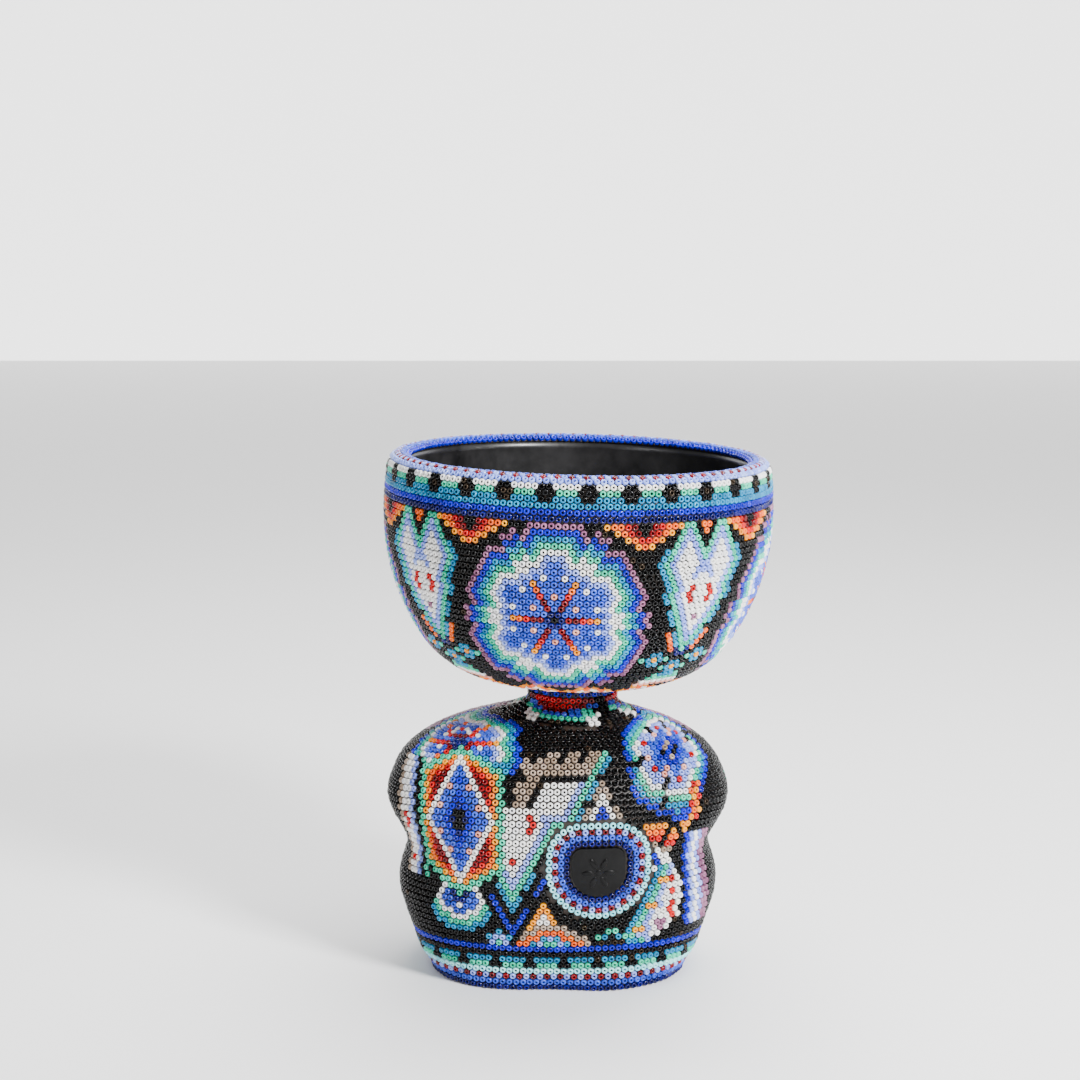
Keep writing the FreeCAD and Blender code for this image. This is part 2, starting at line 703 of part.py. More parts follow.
BACK = V(0, -1, 0)
FRONT = V(0, 1, 0)
LOZENGE = [(-29.5, 79.0), (-16.5, 68.0), (-16.0, 46.0), (-29.5, 35.0), (-43.5, 46.0), (-43.5, 68.0)]
DROP = [(-41.0, 34.0), (-30.5, 33.5), (-20.0, 34.0), (-20.5, 24.0), (-26.0, 17.8), (-35.0, 17.8),
        (-40.5, 24.0)]
DEER = [(-15.2, 70.0), (-15.0, 62.0), (-15.2, 40.0), (-11.5, 27.0), (-4.8, 40.0), (-3.0, 60.5),
        (9.0, 74.0), (8.0, 76.5), (-8.0, 75.5)]
MOUNTAIN = [(-17.0, 16.2), (-4.4, 33.5), (8.0, 16.2)]
FEATHERS = [(29.5, 50.0), (47.0, 54.0), (47.0, 38.0), (30.0, 36.0)]
FLANK_DEER = [(31.0, 34.5), (47.5, 36.5), (47.5, 16.2), (26.5, 16.2)]
LEFT_FLOWER = [(-56.0, 62.0), (-46.0, 70.0), (-30.0, 80.5), (-15.5, 71.5), (-11.5, 78.0),
               (-13.0, 90.0), (-56.0, 90.0)]
RIGHT_FLOWER = [(14.2, 84.0), (13.0, 72.0), (17.0, 60.0), (27.0, 52.5), (38.0, 55.5), (51.0, 62.0),
                (51.0, 84.0)]


def build_figure(bowl):
    """The clay figure, the slip that joins it to the bowl, its wax and its beads."""
    wax_out = size("wax_thickness")
    bead_out = wax_out + size("bead_height")
    top = neck_top()

    # clay: hollow, with a bored neck and a firing vent
    solid = figure_loft("figure_outside", 0.0)
    hollow = figure_loft("figure_hollow", -size("figure_wall"), size("figure_floor"),
                         size("collar_level"))
    bore_radius = "%s + %s" % (cell("spigot_radius"), cell("spigot_clearance"))
    bore = cylinder("neck_bore", bore_radius, cell("bowl_foot_level"), cell("throat_level"))
    bore.Placement.Base.x = neck_middle()
    vent = cylinder("vent", cell("vent_radius"), cell("figure_floor") + " * 2",
                    "-" + cell("figure_floor") + " / 2")
    plaque_seat = extruded("plaque_seat", plaque_shield(0), V(0, 0, 1), OUTSIDE)
    plaque_seat.Placement = plaque_place()
    keep(cut("clay_figure_cut", solid, fuse("figure_voids", [hollow, bore, vent])), "clay_figure")

    # slip between the neck and the bowl, and round the spigot
    seam = cylinder("seam", cell("neck_radius"), cell("lute_seam") + " * 2", top)
    plug = cylinder("plug", bore_radius, cell("spigot_length") + " / 2",
                    top - size("spigot_length") / 2)
    for item in (seam, plug):
        item.Placement.Base.x = neck_middle()
    slip = fuse("slip", [seam, plug])
    keep(cut("slip_cut", slip, bowl), "neck_lute")

    # wax and beads, open round the plaque and clear of the table
    wax_loft = figure_loft("figure_wax_outside", wax_out)
    bead_loft = figure_loft("figure_bead_outside", bead_out)
    skirt = DOC.addObject("Part::Box", "table_gap")
    skirt.Length = skirt.Width = 2 * OUTSIDE
    skirt.setExpression("Height", cell("skirt_gap"))
    skirt.Placement.Base = V(-OUTSIDE, -OUTSIDE, 0)
    throat_gap = cylinder("throat_gap", cell("bowl_radius"), cell("bowl_wall") + " * 2",
                          top - size("skirt_gap"))
    clear = fuse("wax_clearances", [solid, skirt, throat_gap, plaque_seat])
    keep(cut("wax_figure_cut", wax_loft, clear), "wax_figure")
    clear_beads = fuse("bead_clearances", [wax_loft, skirt, throat_gap])
    shell = cut("figure_bead_coat", bead_loft, clear_beads)

    # plaque, seated on the clay
    outer_skin = figure_loft("plaque_skin", size("plaque_thickness"))
    plaque_block = common("plaque_block", outer_skin, plaque_seat)
    keep(cut("plaque_cut", plaque_block, solid), "maker_plaque")

    tools = []

    def motif(label, tool):
        tools.append(tool)
        return keep(common(label + "_cut", shell, tool), label)

    def band(label, low, high):
        return motif(label, cylinder(label + "_slab", 2 * OUTSIDE, high - low, low))

    # border round the base, row by row, and the collar under the bowl
    low = 0.0
    for number, colour in enumerate(BORDER_ROWS):
        high = low + size("row_pitch")
        band("beads_border_%d_%s" % (number + 1, colour), low, high)
        low = high
    band("beads_neck_collar", size("throat_level") - size("wax_thickness"),
         size("bowl_foot_level"))

    # rings round the plaque
    inner = extruded("ring_hole", plaque_shield(size("plaque_gap")), V(0, 0, 1), OUTSIDE)
    inner.Placement = plaque_place()
    tools.append(inner)
    grow = size("plaque_gap")
    for number, colour in enumerate(PLAQUE_RINGS):
        grow += size("row_pitch")
        outer = extruded("ring_%s" % colour, plaque_shield(grow), V(0, 0, 1), OUTSIDE)
        outer.Placement = plaque_place()
        motif("beads_plaque_%d_%s" % (number + 1, colour), cut("ring_cut_" + colour, outer, inner))
        inner = outer

    # motifs on the back
    plaque_zone = inner
    for label, outline in [
        ("beads_lozenge", LOZENGE), ("beads_drop", DROP), ("beads_deer_and_antler", DEER),
        ("beads_mountain", MOUNTAIN), ("beads_feathers", FEATHERS),
        ("beads_flank_deer", FLANK_DEER), ("beads_shoulder_left", LEFT_FLOWER),
        ("beads_shoulder_right", RIGHT_FLOWER),
    ]:
        prism = extruded(label + "_prism", back_outline(outline), BACK, OUTSIDE)
        motif(label, cut(label + "_clear", prism, plaque_zone))

    # motifs on the front
    for label, radius, level, azimuth in [
        ("beads_shin_flower", "front_flower_radius", "front_flower_level", 180.0),
        ("beads_knee_right", "knee_flower_radius", "knee_flower_level",
         180.0 - size("knee_spread")),
        ("beads_knee_left", "knee_flower_radius", "knee_flower_level",
         180.0 + size("knee_spread")),
    ]:
        drum = DOC.addObject("Part::Cylinder", label + "_drum")
        drum.setExpression("Radius", cell(radius))
        drum.Height = OUTSIDE
        drum.Placement = facing_figure(azimuth, size(level))
        motif(label, drum)

    keep(cut("figure_rest", shell, fuse("figure_motifs", tools)), "beads_figure_ground")


# ---------------------------------------------------------------- make, check and write

def check_and_write():
    """Refuse any object that failed, then write each sub-part to its own file."""
    for item in DOC.Objects:
        if "Invalid" in item.State or "Error" in item.State:
            raise RuntimeError("failed: " + item.Label)
    os.makedirs("parts", exist_ok=True)
    for item in SUBPARTS:
        shape = item.Shape
        if shape.isNull() or not shape.isValid() or not shape.Solids:
            raise RuntimeError("no good shape: " + item.Label)
    for item in SUBPARTS:
        item.Shape.exportStep(os.path.join("parts", item.Label + ".step"))


build_figure(build_bowl())
DOC.recompute()
check_and_write()
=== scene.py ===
"""A seated clay figure with a bowl for a head, coated in wax and set with glass seed beads."""

import logging
import math
import random
from dataclasses import dataclass, field
from enum import Enum

import bmesh
import bpy
import numpy as np
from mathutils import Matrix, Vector
from mathutils.bvhtree import BVHTree
from mathutils.kdtree import KDTree

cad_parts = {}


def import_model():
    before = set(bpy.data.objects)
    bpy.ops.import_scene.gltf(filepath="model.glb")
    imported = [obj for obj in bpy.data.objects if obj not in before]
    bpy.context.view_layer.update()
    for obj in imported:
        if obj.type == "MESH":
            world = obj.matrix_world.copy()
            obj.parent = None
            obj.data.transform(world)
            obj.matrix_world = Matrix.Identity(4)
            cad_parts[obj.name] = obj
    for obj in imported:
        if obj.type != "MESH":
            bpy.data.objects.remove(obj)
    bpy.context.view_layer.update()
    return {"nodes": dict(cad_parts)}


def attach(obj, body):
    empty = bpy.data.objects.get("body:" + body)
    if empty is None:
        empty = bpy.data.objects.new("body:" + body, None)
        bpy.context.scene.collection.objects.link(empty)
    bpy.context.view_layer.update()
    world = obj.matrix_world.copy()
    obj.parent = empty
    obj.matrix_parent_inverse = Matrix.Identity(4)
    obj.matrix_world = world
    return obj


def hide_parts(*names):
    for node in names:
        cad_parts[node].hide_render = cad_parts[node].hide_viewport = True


LOG = logging.getLogger("beaded_figure")
MM = 0.001
BODY = "root"

# pitches of the beads along a row and from row to row, in millimetres
BOWL_PITCH = 2.13
BOWL_ROW = 1.97
FIGURE_PITCH = 2.15
FIGURE_ROW = 2.02

# the figure's upright axis, which stands left of the bowl's, and a depth well behind its back
FIGURE_X = -6.4
OUTSIDE_Y = -90.0
INWARDS = Vector((0.0, 1.0, 0.0))
# a bead belongs to the side that faces it only if it is this far from the axis
FIGURE_CORE = 10.0
# radius of a rayed flower, in beads
RAYED_REACH = 9.9


def linear(code: str) -> tuple[float, float, float, float]:
    """Turn an sRGB hex colour into the linear colour that a socket takes.

    Args:
        code: Six hex digits.

    Returns:
        Linear red, green and blue, and an alpha of 1.
    """
    out = []
    for start in (0, 2, 4):
        share = int(code[start:start + 2], 16) / 255
        out.append(share / 12.92 if share <= 0.04045 else ((share + 0.055) / 1.055) ** 2.4)
    return (out[0], out[1], out[2], 1.0)


# ---------------------------------------------------------------- finishes


@dataclass(frozen=True)
class Glass:
    """Opaque drawn glass, tumbled to a gloss; each tone is one dye lot.

    A bead shows one small sharp glint. Jet is given less shine, so that the ground stays black.
    """

    name: str
    slot: str
    tones: tuple[str, ...]
    roughness: float = 0.13
    metallic: float = 0.0
    shine: float = 0.42


class Letter(str, Enum):
    """The letters that the charts use for the colours."""

    BLACK = "K"
    BRONZE = "Z"
    COBALT = "C"
    NAVY = "N"
    PERIWINKLE = "P"
    LILAC = "L"
    PALE = "A"
    MINT = "M"
    TURQUOISE = "T"
    WHITE = "W"
    YELLOW = "Y"
    ORANGE = "O"
    RED = "R"
    DARK_RED = "D"
    MAUVE = "V"
    TAUPE = "U"
    PINK = "I"


GLASSES: dict[str, Glass] = {
    Letter.BLACK: Glass("jet", "glass_black", ("020203", "040405", "010102"), 0.1, 0.0, 0.26),
    Letter.BRONZE: Glass("bronze", "glass_black", ("33291f", "222224"), 0.2, 0.7),
    Letter.COBALT: Glass("cobalt", "glass_cobalt", ("0000b8", "0008c8", "00009c")),
    Letter.NAVY: Glass("navy", "glass_navy", ("04045c", "08086c", "02024a")),
    Letter.PERIWINKLE: Glass("periwinkle", "glass_periwinkle", ("2e4cca", "3a5ad6", "2642b4")),
    Letter.LILAC: Glass("lilac", "glass_pale_blue", ("8a9ef0", "98acf4", "7c90e6")),
    Letter.PALE: Glass("pale_cyan", "glass_pale_blue", ("94e8f2", "a6eef4", "84deec")),
    Letter.MINT: Glass("mint", "glass_mint", ("28c49e", "38d0aa", "1cb48e")),
    Letter.TURQUOISE: Glass("turquoise", "glass_turquoise", ("0080b0", "008cbc", "00709c")),
    Letter.WHITE: Glass("white", "glass_white", ("f8f7f5", "f2f1ee", "ececee")),
    Letter.YELLOW: Glass("yellow", "glass_yellow", ("f49600", "f8a200", "e88800")),
    Letter.ORANGE: Glass("orange", "glass_orange", ("f46000", "f86c00", "e45200")),
    Letter.RED: Glass("red", "glass_red", ("c4000a", "d0040e", "ac0006")),
    Letter.DARK_RED: Glass("dark_red", "glass_red", ("70000a", "80040e", "5c0006")),
    Letter.MAUVE: Glass("mauve", "glass_taupe", ("8c5878", "986484", "7c4a6a")),
    Letter.TAUPE: Glass("taupe", "glass_taupe", ("9c8876", "a89484", "8e7a68")),
    Letter.PINK: Glass("pink", "glass_taupe", ("f0a490", "f4b2a0", "e49480")),
}


@dataclass(frozen=True)
class Earth:
    """A dull or burnished surface whose colour and roughness wander."""

    name: str
    low: str
    high: str
    roughness: tuple[float, float]
    patches: float
    grain: float
    bump: float
    coat: float = 0.0
    shine: float = 0.5


# black-fired clay, rubbed with a stone: a soft sheen with duller scuffs of some 8 mm
CLAY = Earth("burnished_black_clay", "0a0a0b", "242324", (0.28, 0.5), 120.0, 1500.0, 0.12, 0.25)
# Campeche beeswax and pine resin: its own brown, painted near black with the shade that falls between the
# beads; soft-looking where it wells up between them
WAX_WITH_PAINTED_SHADE = Earth("beeswax_and_resin", "0e0906", "2a1c12", (0.42, 0.62), 300.0, 1800.0, 0.25)
# slip of the same clay, left as it was smeared on
SLIP = Earth("clay_slip", "0b0a0a", "1a1816", (0.6, 0.8), 250.0, 2200.0, 0.4)
# the plaque's clay, burnished harder than the bowl
PLAQUE_CLAY = Earth("plaque_clay", "030303", "0b0b0c", (0.24, 0.4), 350.0, 2600.0, 0.1, 0.0, 0.14)


class Finishes:
    """Makes each material once."""

    def __init__(self) -> None:
        self._made: dict[str, bpy.types.Material] = {}

    @staticmethod
    def add(tree: bpy.types.NodeTree, kind: str, **values: object) -> bpy.types.Node:
        """Add one node and set its inputs.

        Args:
            tree: The node tree.
            kind: The node's type.
            **values: Input names, with spaces as underscores, and what each takes.

        Returns:
            The new node.
        """
        node = tree.nodes.new(kind)
        for name, value in values.items():
            socket = node.inputs[name.replace("_", " ")]
            if isinstance(value, bpy.types.NodeSocket):
                tree.links.new(value, socket)
            else:
                socket.default_value = value
        return node

    def glass(self, letter: str, tone: int) -> bpy.types.Material:
        """Give the glass of one colour in one of its tones.

        Args:
            letter: The chart letter.
            tone: Which dye lot.

        Returns:
            The material.
        """
        kind = GLASSES[letter]
        name = f"seed_glass_{kind.name}_{tone + 1}"
        if name not in self._made:
            material = bpy.data.materials.new(name)
            material.use_nodes = True
            shader = material.node_tree.nodes["Principled BSDF"]
            shader.inputs["Base Color"].default_value = linear(kind.tones[tone])
            shader.inputs["Roughness"].default_value = kind.roughness
            shader.inputs["Metallic"].default_value = kind.metallic
            shader.inputs["Specular IOR Level"].default_value = kind.shine
            self._made[name] = material
        return self._made[name]

    def earth(self, kind: Earth) -> bpy.types.Material:
        """Give a clay, slip or wax.

        Args:
            kind: The finish.

        Returns:
            The material.
        """
        if kind.name in self._made:
            return self._made[kind.name]
        material = bpy.data.materials.new(kind.name)
        material.use_nodes = True
        tree = material.node_tree
        shader = tree.nodes["Principled BSDF"]
        place = self.add(tree, "ShaderNodeTexCoord").outputs["Object"]
        patches = self.add(tree, "ShaderNodeTexNoise", Vector=place, Scale=kind.patches,
                           Detail=4.0, Roughness=0.6)
        grain = self.add(tree, "ShaderNodeTexNoise", Vector=place, Scale=kind.grain, Detail=3.0)
        ramp = self.add(tree, "ShaderNodeValToRGB", Fac=patches.outputs["Fac"])
        ramp.color_ramp.elements[0].position = 0.32
        ramp.color_ramp.elements[0].color = linear(kind.low)
        ramp.color_ramp.elements[1].position = 0.7
        ramp.color_ramp.elements[1].color = linear(kind.high)
        dull = self.add(tree, "ShaderNodeMapRange", Value=patches.outputs["Fac"],
                        To_Min=kind.roughness[0], To_Max=kind.roughness[1])
        bump = self.add(tree, "ShaderNodeBump", Height=grain.outputs["Fac"],
                        Strength=kind.bump, Distance=0.0002)
        tree.links.new(ramp.outputs["Color"], shader.inputs["Base Color"])
        tree.links.new(dull.outputs["Result"], shader.inputs["Roughness"])
        tree.links.new(bump.outputs["Normal"], shader.inputs["Normal"])
        shader.inputs["Specular IOR Level"].default_value = kind.shine
        shader.inputs["Coat Weight"].default_value = kind.coat
        shader.inputs["Coat Roughness"].default_value = 0.2
        self._made[kind.name] = material
        return material

    def paper(self) -> bpy.types.Material:
        """Give the pale sheet that the figure stands on.

        Returns:
            The material.
        """
        material = bpy.data.materials.new("matt_white_paper")
        material.use_nodes = True
        tree = material.node_tree
        shader = tree.nodes["Principled BSDF"]
        place = self.add(tree, "ShaderNodeTexCoord").outputs["Object"]
        fibre = self.add(tree, "ShaderNodeTexNoise", Vector=place, Scale=900.0, Detail=2.0)
        dull = self.add(tree, "ShaderNodeMapRange", Value=fibre.outputs["Fac"],
                        To_Min=0.7, To_Max=0.85)
        tree.links.new(dull.outputs["Result"], shader.inputs["Roughness"])
        shader.inputs["Base Color"].default_value = linear("f6f6f6")
        return material

    def lit_cloth(self) -> bpy.types.Material:
        """Give the white cloth, lit from behind, that hangs at the back of the studio.

        Returns:
            The material.
        """
        material = bpy.data.materials.new("backlit_white_cloth")
        material.use_nodes = True
        tree = material.node_tree
        shader = tree.nodes["Principled BSDF"]
        place = self.add(tree, "ShaderNodeTexCoord").outputs["Object"]
        weave = self.add(tree, "ShaderNodeTexNoise", Vector=place, Scale=400.0)
        glow = self.add(tree, "ShaderNodeMapRange", Value=weave.outputs["Fac"],
                        To_Min=2.3, To_Max=2.5)
        tree.links.new(glow.outputs["Result"], shader.inputs["Emission Strength"])
        shader.inputs["Emission Color"].default_value = linear("ffffff")
        return material


# ---------------------------------------------------------------- beads


@dataclass
class Bead:
    """One bead pressed into the wax: where it sits, which way its hole faces, and its colour."""

    place: Vector
    normal: Vector
    letter: str
    node: str
    size: float = 1.0


class BeadMould:
    """The one bead that all the others are copies of."""

    SIDES = 9
    # rounds of the drawn tube, from the widest circle up over the rim and down into the hole
    PROFILE = ((1.03, 0.62), (0.89, 1.10), (0.62, 1.27), (0.42, 0.98), (0.42, -0.2), (0.95, -0.2))

    def __init__(self) -> None:
        bpy.ops.object.select_all(action="DESELECT")
        bpy.ops.mesh.primitive_torus_add(major_segments=self.SIDES,
                                         minor_segments=len(self.PROFILE),
                                         major_radius=0.72, minor_radius=0.3)
        ring = bpy.context.object
        bpy.ops.object.mode_set(mode="EDIT")
        shape = bmesh.from_edit_mesh(ring.data)
        for vertex in shape.verts:
            turn = math.atan2(vertex.co.y, vertex.co.x)
            radius, height = self.PROFILE[vertex.index % len(self.PROFILE)]
            vertex.co = (radius * math.cos(turn), radius * math.sin(turn), height)
        bmesh.update_edit_mesh(ring.data)
        bpy.ops.object.mode_set(mode="OBJECT")
        self.points = np.array([vertex.co[:] for vertex in ring.data.vertices])
        self.quads = np.array([face.vertices[:] for face in ring.data.polygons])
        bpy.data.objects.remove(ring, do_unlink=True)


@dataclass
class Panels:
    """Turns the beads of each CAD node into one mesh, or a few where they are many."""

    finishes: Finishes
    mould: BeadMould
    random: random.Random
    most: int = 1700
    floor: float = 0.02
    lean: float = 0.07
    widths: tuple[float, float] = (0.955, 1.015)
    heights: tuple[float, float] = (0.86, 1.0)

    def build(self, beads: list[Bead]) -> list[bpy.types.Object]:
        """Make every panel.

        Args:
            beads: All the beads on the object.

        Returns:
            The panels.
        """
        by_node: dict[str, list[Bead]] = {}
        for bead in beads:
            by_node.setdefault(bead.node, []).append(bead)
        made = []
        for node, group in sorted(by_node.items()):
            parts = math.ceil(len(group) / self.most)
            group.sort(key=lambda bead: math.atan2(bead.place.x - FIGURE_X, -bead.place.y))
            for part in range(parts):
                share = group[len(group) * part // parts:len(group) * (part + 1) // parts]
                name = node.replace("beads_", "beadwork_") + (f"_{part + 1}" if parts > 1 else "")
                made.append(self._panel(name, node, share))
        return made

    def _panel(self, name: str, node: str, beads: list[Bead]) -> bpy.types.Object:
        """Copy the bead to each place, each with its own spin, tilt and size.

        Args:
            name: The new object's name.
            node: The CAD node that it stands for.
            beads: Its beads.

        Returns:
            The object.
        """
        points, quads = self.mould.points, self.mould.quads
        slots: dict[tuple[str, int], int] = {}
        chunks, choice = [], []
        for bead in beads:
            draw = self.random
            tilt = Vector([draw.gauss(0, self.lean) for _ in range(3)])
            up = (bead.normal + tilt).normalized()
            aside = up.orthogonal().normalized()
            across = up.cross(aside)
            spin = draw.uniform(0, math.tau)
            first = aside * math.cos(spin) + across * math.sin(spin)
            second = up.cross(first)
            size = bead.size * draw.uniform(*self.widths)
            tall = draw.uniform(*self.heights)
            basis = np.array([first * size, second * size, up * tall])
            chunk = points @ basis + np.array(bead.place)
            chunk[:, 2] += max(0.0, self.floor - chunk[:, 2].min())
            chunks.append(chunk)
            tone = draw.randrange(len(GLASSES[bead.letter].tones))
            choice.append(slots.setdefault((bead.letter, tone), len(slots)))
        count, corners, faces = len(beads), len(points), len(quads)
        mesh = bpy.data.meshes.new(name)
        mesh.vertices.add(count * corners)
        mesh.vertices.foreach_set("co", (np.concatenate(chunks) * MM).ravel())
        index = quads[None, :, :] + (np.arange(count) * corners)[:, None, None]
        mesh.loops.add(count * faces * 4)
        mesh.loops.foreach_set("vertex_index", index.ravel().astype(np.int32))
        mesh.polygons.add(count * faces)
        mesh.polygons.foreach_set("loop_start", np.arange(0, count * faces * 4, 4, dtype=np.int32))
        mesh.polygons.foreach_set("use_smooth", np.ones(count * faces, dtype=bool))
        for letter, tone in slots:
            mesh.materials.append(self.finishes.glass(letter, tone))
        mesh.polygons.foreach_set("material_index", np.repeat(choice, faces).astype(np.int32))
        mesh.update(calc_edges=True)
        mesh.validate()
        panel = bpy.data.objects.new(name, mesh)
        bpy.context.collection.objects.link(panel)
        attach(panel, BODY)
        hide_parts(node)
        return panel


def ground_letter(draw: random.Random) -> str:
    """Pick a bead for the black ground, where a few are bronze-lined.

    Args:
        draw: The source of chance.

    Returns:
        A chart letter.
    """
    return "Z" if draw.random() < 0.05 else "K"


# ---------------------------------------------------------------- bowl

# deer head, row by row from the row under the navy ring; each row is centred
DEER_HEAD = """MMKOOKMM MLMKOKMLM MLLMKKMLLM MLWLMKMLWLM TMLWWLMMLWWLMT TMLWWWLMLWWWLMT
TMLWWWWLLWWWWLMT TMLWWWLLLWWWLMT TMLWWLWWLWWLMT TMLWWWWWWWLMT TMLWRWWRWLMT TMLWRWWWRWLMT
TMLWRWWRWLMT MLWWWWWLM TMLWWWWLMT TMLWVWLMT TMLWWLMT KMLWLMK OTMLLMTO OTMLMTO OTMMTO ONMNO
KNNK""".split()
# half rounds that hang from the navy ring, ten beads either side of a deer head
SCALLOP = ("YOORDKKDROOY", "YORDKDROY", "YORROY", "YOY")
# seven-bead flowers of a sprig: column and row; and the bands that spread under them
SPRIG_FLOWERS = ((-4.0, 24), (4.0, 24), (0.0, 26))
TAIL_ROW = 28
ZIGZAG_ROW = 32
SPRIG_TAIL = ("MTTTM", "MMMMMM", "WWWWWWW", "IIIIIIII")
# seven-bead flowers in the three rows under the lip, six beads to the repeat
RIM_FLOWERS = ("WWWWKK", "MMMKZK", "TTTTKK")
FLOWER_AXIS = "KNDDROY"
FLOWER_RINGS = {15: "V", 14: "C", 13: "T", 12: "M", 11: "W", 10: "L"}


def centred(text: str) -> list[tuple[float, str]]:
    """Spread a chart row about its middle.

    Args:
        text: The row's letters; a full stop leaves the bead as it is.

    Returns:
        The column and the letter of each bead.
    """
    start = -(len(text) - 1) / 2
    return [(start + step, letter) for step, letter in enumerate(text) if letter != "."]


def star_flower(across: float, down: int) -> str | None:
    """Colour one bead of a six-pointed bowl flower on the honeycomb of beads.

    Args:
        across: Columns right of the flower's middle.
        down: Rows below it.

    Returns:
        The chart letter, or None outside the flower.
    """
    first = across - down / 2
    low, high, far = sorted((abs(first), abs(down), abs(first + down)))
    if low < 0.5 and far < len(FLOWER_AXIS) - 0.5:
        return FLOWER_AXIS[round(far)]
    if far < 1.5:
        return "N"
    if (low, high) == (2, 2):
        return "I"
    if (low, high) == (2, 5):
        return "W"
    ray = 3 if high <= 8 else 2
    level = round(low + high if low >= 4 else high + (4 if low >= 2 else ray))
    return FLOWER_RINGS.get(level, "P") if level <= 15 else None


@dataclass
class BowlBeads:
    """The rows of beads on the bowl, set out along its turned outline."""

    draw: random.Random
    lean: float = math.radians(1.3)
    hinge: tuple[float, float] = (149.5, 98.1)
    flower_turn: float = -7.4
    flower_row: int = 16
    last_row: int = 43
    # centre and radius of each arc of the wax's outside: over the widest circle, the side, the foot
    shoulder: tuple[float, float, float] = (-71.7, 149.5, 132.8)
    side: tuple[float, float, float] = (-7.7, 149.5, 68.8)
    foot: tuple[float, float, float] = (23.7, 128.1, 30.8)
    lip: tuple[float, float, float] = (57.0, 163.87, 3.3)
    side_sweep: float = math.radians(34.3)
    half_bead: float = 0.65

    def on_arc(self, arc: tuple[float, float, float], turn: float) -> tuple[float, ...]:
        """Find a place on one arc of the outline.

        Args:
            arc: Centre and radius.
            turn: Angle up from straight out.

        Returns:
            Radius and height on the wax, and the outward direction.
        """
        out, rise = math.cos(turn), math.sin(turn)
        return (arc[0] + arc[2] * out, arc[1] + arc[2] * rise, out, rise)

    def at_level(self, level: float) -> tuple[float, ...]:
        """Find the place on the shoulder whose beads are centred at a height.

        Args:
            level: The height.

        Returns:
            Radius, height and outward direction.
        """
        reach = self.shoulder[2] + self.half_bead
        return self.on_arc(self.shoulder, math.asin((level - self.shoulder[1]) / reach))

    def field_row(self, row: int) -> tuple[float, ...]:
        """Find a row of the field by its distance down the outline.

        Args:
            row: 1 for the row under the navy ring.

        Returns:
            Radius, height and outward direction.
        """
        first = 153.6 - self.shoulder[1]
        down = (row - 1) * BOWL_ROW - first
        if down < 0:
            return self.at_level(self.shoulder[1] - down)
        reach = self.side[2] + self.half_bead
        if down < reach * self.side_sweep:
            return self.on_arc(self.side, -down / reach)
        down -= reach * self.side_sweep
        reach = self.foot[2] + self.half_bead
        turn = self.side_sweep + down / reach
        if turn < math.pi / 2:
            return self.on_arc(self.foot, -turn)
        inwards = (turn - math.pi / 2) * reach
        return (self.foot[0] - inwards, self.foot[1] - self.foot[2], 0.0, -1.0)

    def bead(self, spot: tuple[float, ...], turn: float, letter: str, node: str) -> Bead:
        """Set one bead on the leaning bowl.

        Args:
            spot: Radius, height and outward direction.
            turn: Degrees from the middle of the back, to the right.
            letter: The chart letter.
            node: The CAD node.

        Returns:
            The bead.
        """
        radius, level, out, rise = spot
        side, back = math.sin(math.radians(turn)), -math.cos(math.radians(turn))
        cosine, sine = math.cos(self.lean), math.sin(self.lean)

        def leaned(x: float, y: float, z: float) -> Vector:
            return Vector((x * cosine + z * sine, y, z * cosine - x * sine))

        shift = Vector((-self.hinge[0] * sine, 0.0, self.hinge[1] * (1 - cosine)))
        place = leaned(radius * side, radius * back, level) + shift
        return Bead(place, leaned(out * side, out * back, rise), letter, node)

    def ring(self, spot: tuple[float, ...], count: int, start: float, letters: str,
             node: str) -> list[Bead]:
        """Set one full ring with a repeat of letters.

        Args:
            spot: Radius, height and outward direction.
            count: Beads in the ring.
            start: Where the first bead is, in beads.
            letters: The repeat.
            node: The CAD node.

        Returns:
            The beads.
        """
        beads = []
        for number in range(count):
            letter = letters[number % len(letters)]
            if letter == "K":
                letter = ground_letter(self.draw)
            beads.append(self.bead(spot, (number + start) * 360 / count + self.flower_turn,
                                   letter, node))
        return beads

    def rim(self) -> list[Bead]:
        """Set the rows over the lip and the bands under it.

        Returns:
            The beads.
        """
        beads = []
        for number, (turn, letters, name) in enumerate([
                (128.6, "C", "cobalt"), (101.4, "P", "periwinkle"), (74.8, "DL", "checks"),
                (48.1, "L", "pale")]):
            spot = self.on_arc(self.lip, math.radians(turn))
            count = 2 * round(math.pi * (spot[0] + self.half_bead * spot[2]) / BOWL_PITCH)
            beads += self.ring(spot, count, 0.5 * (number % 2), letters,
                               f"beads_lip_{number + 1}_{name}")
        bands = [(self.on_arc(self.lip, math.radians(20.0)), RIM_FLOWERS[0], "1_flowers"),
                 (self.at_level(163.4), RIM_FLOWERS[1], "1_flowers"),
                 (self.at_level(161.5), RIM_FLOWERS[2], "1_flowers"),
                 (self.at_level(159.6), "T", "2_turquoise"),
                 (self.at_level(157.7), "C", "3_cobalt"),
                 (self.at_level(155.7), "N", "4_navy")]
        for number, (spot, letters, name) in enumerate(bands):
            beads += self.ring(spot, 180, 0.5 * (number % 2), letters, "beads_rim_" + name)
        return beads

